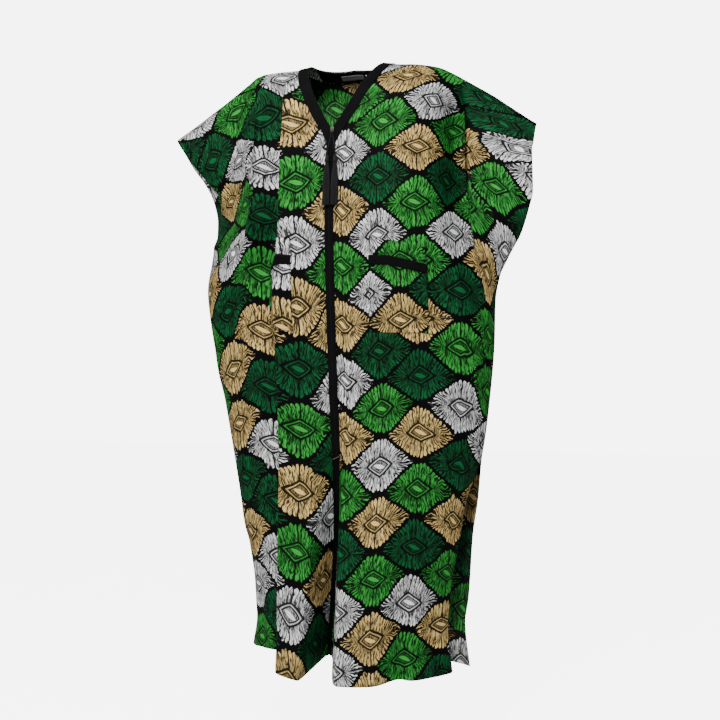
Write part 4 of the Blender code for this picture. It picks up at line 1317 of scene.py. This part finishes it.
def twisted(name, route, radius, strands, turns, look):
    # Strands wound round each other along a route.
    built = bmesh.new()
    steps = len(route) * 6
    line = [route[0].lerp(route[1], 0)]
    for k in range(1, steps + 1):
        t = k / steps * (len(route) - 1)
        n = min(int(t), len(route) - 2)
        line.append(route[n].lerp(route[n + 1], t - n))
    for s in range(strands):
        rings = []
        for k, middle in enumerate(line):
            turn = 2 * math.pi * (turns * k / len(line) + s / strands)
            away = Vector((math.cos(turn), math.sin(turn), 0)) * radius * 0.45
            rings.append(ringOf(built, middle + away, radius * 0.55, 6))
        tubeOf(built, rings)
    bmesh.ops.recalc_face_normals(built, faces=built.faces)
    return addPiece(name, meshOf(name, built), look)


headProfile = (
    (0.0, 0.0016),
    (0.0008, 0.0030),
    (0.0030, 0.0042),
    (0.0070, 0.0047),
    (0.0112, 0.0046),
    (0.0118, 0.0051),
    (0.0135, 0.0053),
    (0.0152, 0.0051),
    (0.0160, 0.0046),
)


def buildTassel(side):
    # A wound head and a skirt of fine strands.
    rng = np.random.default_rng(cords[side]["seed"])
    headX = cords[side]["headX"]
    built = bmesh.new()
    rings = []
    for down, radius in headProfile:
        middle = beforeFront(headX, tassel["top"] + down, tassel["off"])
        rings.append(ringOf(built, middle, radius, 24, lobe=0.05, phase=down * 900))
    tubeOf(built, rings)
    wound = tassel["windRadius"]
    for wind in range(5):
        middle = beforeFront(headX, tassel["top"] + 0.0118 + wind * 0.0009, tassel["off"])
        place = Matrix.Translation(middle)
        bmesh.ops.create_cone(built, segments=20, radius1=wound, radius2=wound, depth=0.0006, matrix=place)
    rootDown = tassel["top"] + tassel["head"] - 0.003
    root, thick = tassel["rootRadius"], tassel["strandRadius"]
    for s in range(tassel["strands"]):
        out = math.sqrt((s + 0.5) / tassel["strands"])
        turn = s * 2.39996 + rng.normal(0, 0.05)  # the golden angle spreads them evenly
        way = Vector((math.cos(turn), math.sin(turn), 0))
        endDown = tassel["end"] - 0.0015 - abs(rng.normal(0, 0.0022))
        drift = Vector((rng.normal(0, 0.0006), rng.normal(0, 0.0004), 0))
        rings = []
        for t in (0.0, 0.10, 0.28, 0.55, 0.80, 1.0):
            swell = float(smooth(np.array(t / 0.4)))
            halfWidth = root + (tassel["width"] / 2 - root) * swell * (0.88 + 0.12 * t)
            halfDepth = root + (tassel["depth"] / 2 - root) * swell
            middle = beforeFront(headX, rootDown + (endDown - rootDown) * t, tassel["off"]) + drift * t
            middle.x += way.x * out * (halfWidth - thick) + 0.0004 * math.sin(9 * t + s)
            middle.y += way.y * out * (halfDepth - thick)
            rings.append(ringOf(built, middle, thick * (1 - 0.35 * t), 4, turn))
        tubeOf(built, rings)
    bmesh.ops.recalc_face_normals(built, faces=built.faces)
    piece = addPiece(f"{side}Tassel", meshOf(f"{side}Tassel", built), looks["thread"])
    return settle(piece, [f"tassel_{side}"])


for side in ("left", "right"):
    buildTassel(side)
    route = cordRoute(side)
    cord = twisted(f"{side}Cord", route, cordDiameter / 2, 3, 9, looks["cord"])
    settle(cord, [f"pull_cord_{side}"])
print("stage: zip and tassels")


# Sewing


sewing = {
    "pitch": 0.0040,
    "length": 0.0028,
    "radius": 0.00032,
    "off": 0.0006,
    "inset": 0.12,  # of a lattice cell, from a pocket's edge
    "hem": 0.988,
}


def stitches(name, panel, path, lift):
    # Stitches along a path of columns and row shares on a panel.
    column, share = np.array(path, float).T
    marks = np.arange(len(column))
    fine = np.linspace(0, len(column) - 1, len(column) * 40)
    points = sample(panels[panel], np.interp(fine, marks, column), np.interp(fine, marks, share), lift)[0]
    far = np.concatenate([[0], np.cumsum(np.linalg.norm(np.diff(points, axis=0), axis=1))])
    built = bmesh.new()
    pitch = sewing["pitch"]
    for start in np.arange(pitch * 0.2, far[-1] - pitch, pitch):
        ends = [
            Vector([np.interp(at, far, points[:, k]) for k in range(3)])
            for at in (start, start + sewing["length"])
        ]
        capsule(built, *ends, sewing["radius"], 4, 0.8)
    return settle(addPiece(name, meshOf(name, built), looks["stitch"]), [])


for side in ("left", "right"):
    numbers = columnNumbers(side)
    onTape = onCloth + sewing["off"]
    rows = np.linspace(bindingEnd + 0.002, 1.0, 30)
    stitches(f"{side}BandSeam", side, [(numbers["binding"] - 0.35, s) for s in rows], onTape)
    first = numbers["pocketIn"] + sewing["inset"]
    last = numbers["pocketOut" if side == "left" else "foot"] - sewing["inset"]
    foot = pocketBottom - 0.003
    path = [(first, s) for s in np.linspace(pocketTop + 0.004, foot, 12)]
    path += [(c, foot) for c in np.linspace(first, last, 8)[1:]]
    path += [(last, s) for s in np.linspace(foot, pocketTop + 0.012, 12)[1:]]
    stitches(f"{side}PocketSeam", side, path, onTape)
    path = [(c, sewing["hem"]) for c in np.linspace(numbers["binding"], numbers["side"] - 0.1, 40)]
    stitches(f"{side}HemSeam", side, path, sewing["off"])
last = columnNumbers("back")["side"] - 0.1
stitches("backHemSeam", "back", [(c, sewing["hem"]) for c in np.linspace(-last, last, 80)], sewing["off"])
print("stage: sewing")

# Camera, light and floor
# The photo's view. The last four are in the photo's pixels.
view = {
    "azimuth": math.radians(18),
    "away": 2.9,
    "down": 0.681,
    "pixels": 720,
    "focal": 1222,
    "right": 10,
    "below": 5,
}
azimuth, away = view["azimuth"], view["away"]
aside = view["right"] / view["focal"] * away
camera = bpy.data.objects.new("camera", bpy.data.cameras.new("camera"))
camera.data.sensor_width = 36
camera.data.lens = view["focal"] / view["pixels"] * 36
camera.location = (
    away * math.sin(azimuth) + aside * math.cos(azimuth),
    -away * math.cos(azimuth) + aside * math.sin(azimuth),
    -view["down"],
)
camera.rotation_euler = (math.radians(90) - math.atan(view["below"] / view["focal"]), 0, azimuth)
bpy.context.scene.collection.objects.link(camera)
bpy.context.scene.camera = camera

# The lamps, and how bright the white ground looks beside what it lights.
lamps = {
    "key": {"place": (0.35, -2.5, 1.5), "size": 0.8, "energy": 116},
    "fill": {"place": (-2.1, -2.0, 0.7), "size": 1.6, "energy": 32},
}
neckLamp = {"place": (0.45, -2.3, 0.75), "aim": (-0.035, 0.04, -0.09), "angle": 5.0, "energy": 165}
groundLight = {"lit": 0.36, "seen": 6.5, "floorSeen": 5.8}
world = bpy.data.worlds.new("studio")
world.use_nodes = True
nodes = world.node_tree.nodes
backdrop = nodes["Background"]
backdrop.inputs["Color"].default_value = (1, 1, 1, 1)
seenBy = nodes.new("ShaderNodeLightPath")
brightness = nodes.new("ShaderNodeMapRange")
brightness.inputs["To Min"].default_value = groundLight["lit"]
brightness.inputs["To Max"].default_value = groundLight["seen"]
world.node_tree.links.new(seenBy.outputs["Is Camera Ray"], brightness.inputs["Value"])
world.node_tree.links.new(brightness.outputs["Result"], backdrop.inputs["Strength"])
bpy.context.scene.world = world


def lampAt(name, kind, place, aim, energy):
    lamp = bpy.data.lights.new(name, kind)
    lamp.energy = energy
    made = bpy.data.objects.new(name, lamp)
    made.location = place
    made.rotation_euler = (Vector(aim) - Vector(place)).to_track_quat("-Z", "Y").to_euler()
    bpy.context.scene.collection.objects.link(made)
    return lamp


for name, lamp in lamps.items():
    lampAt(name, "AREA", lamp["place"], (0, 0, -0.6), lamp["energy"]).size = lamp["size"]
spot = lampAt("neckLight", "SPOT", neckLamp["place"], neckLamp["aim"], neckLamp["energy"])
spot.spot_size = math.radians(neckLamp["angle"])
spot.spot_blend = 0.8
spot.shadow_soft_size = 0.03


def paleFloor():
    # A white floor, lit evenly from within where the camera sees it.
    net = Net("paleFloor")
    path = net.node("ShaderNodeLightPath")
    net.shader.inputs["Emission Color"].default_value = (1, 1, 1, 1)
    net.put(net.shader.inputs["Emission Strength"], path * groundLight["floorSeen"])
    return net.finish((0.9, 0.9, 0.9), 0.9)


floorMesh = bmesh.new()
bmesh.ops.create_grid(floorMesh, x_segments=2, y_segments=2, size=9.0)
floorPiece = addPiece("floor", meshOf("floor", floorMesh), paleFloor())
floorPiece.location = (0, 0, -1.62)
bpy.context.view_layer.update()

print("stage: done")
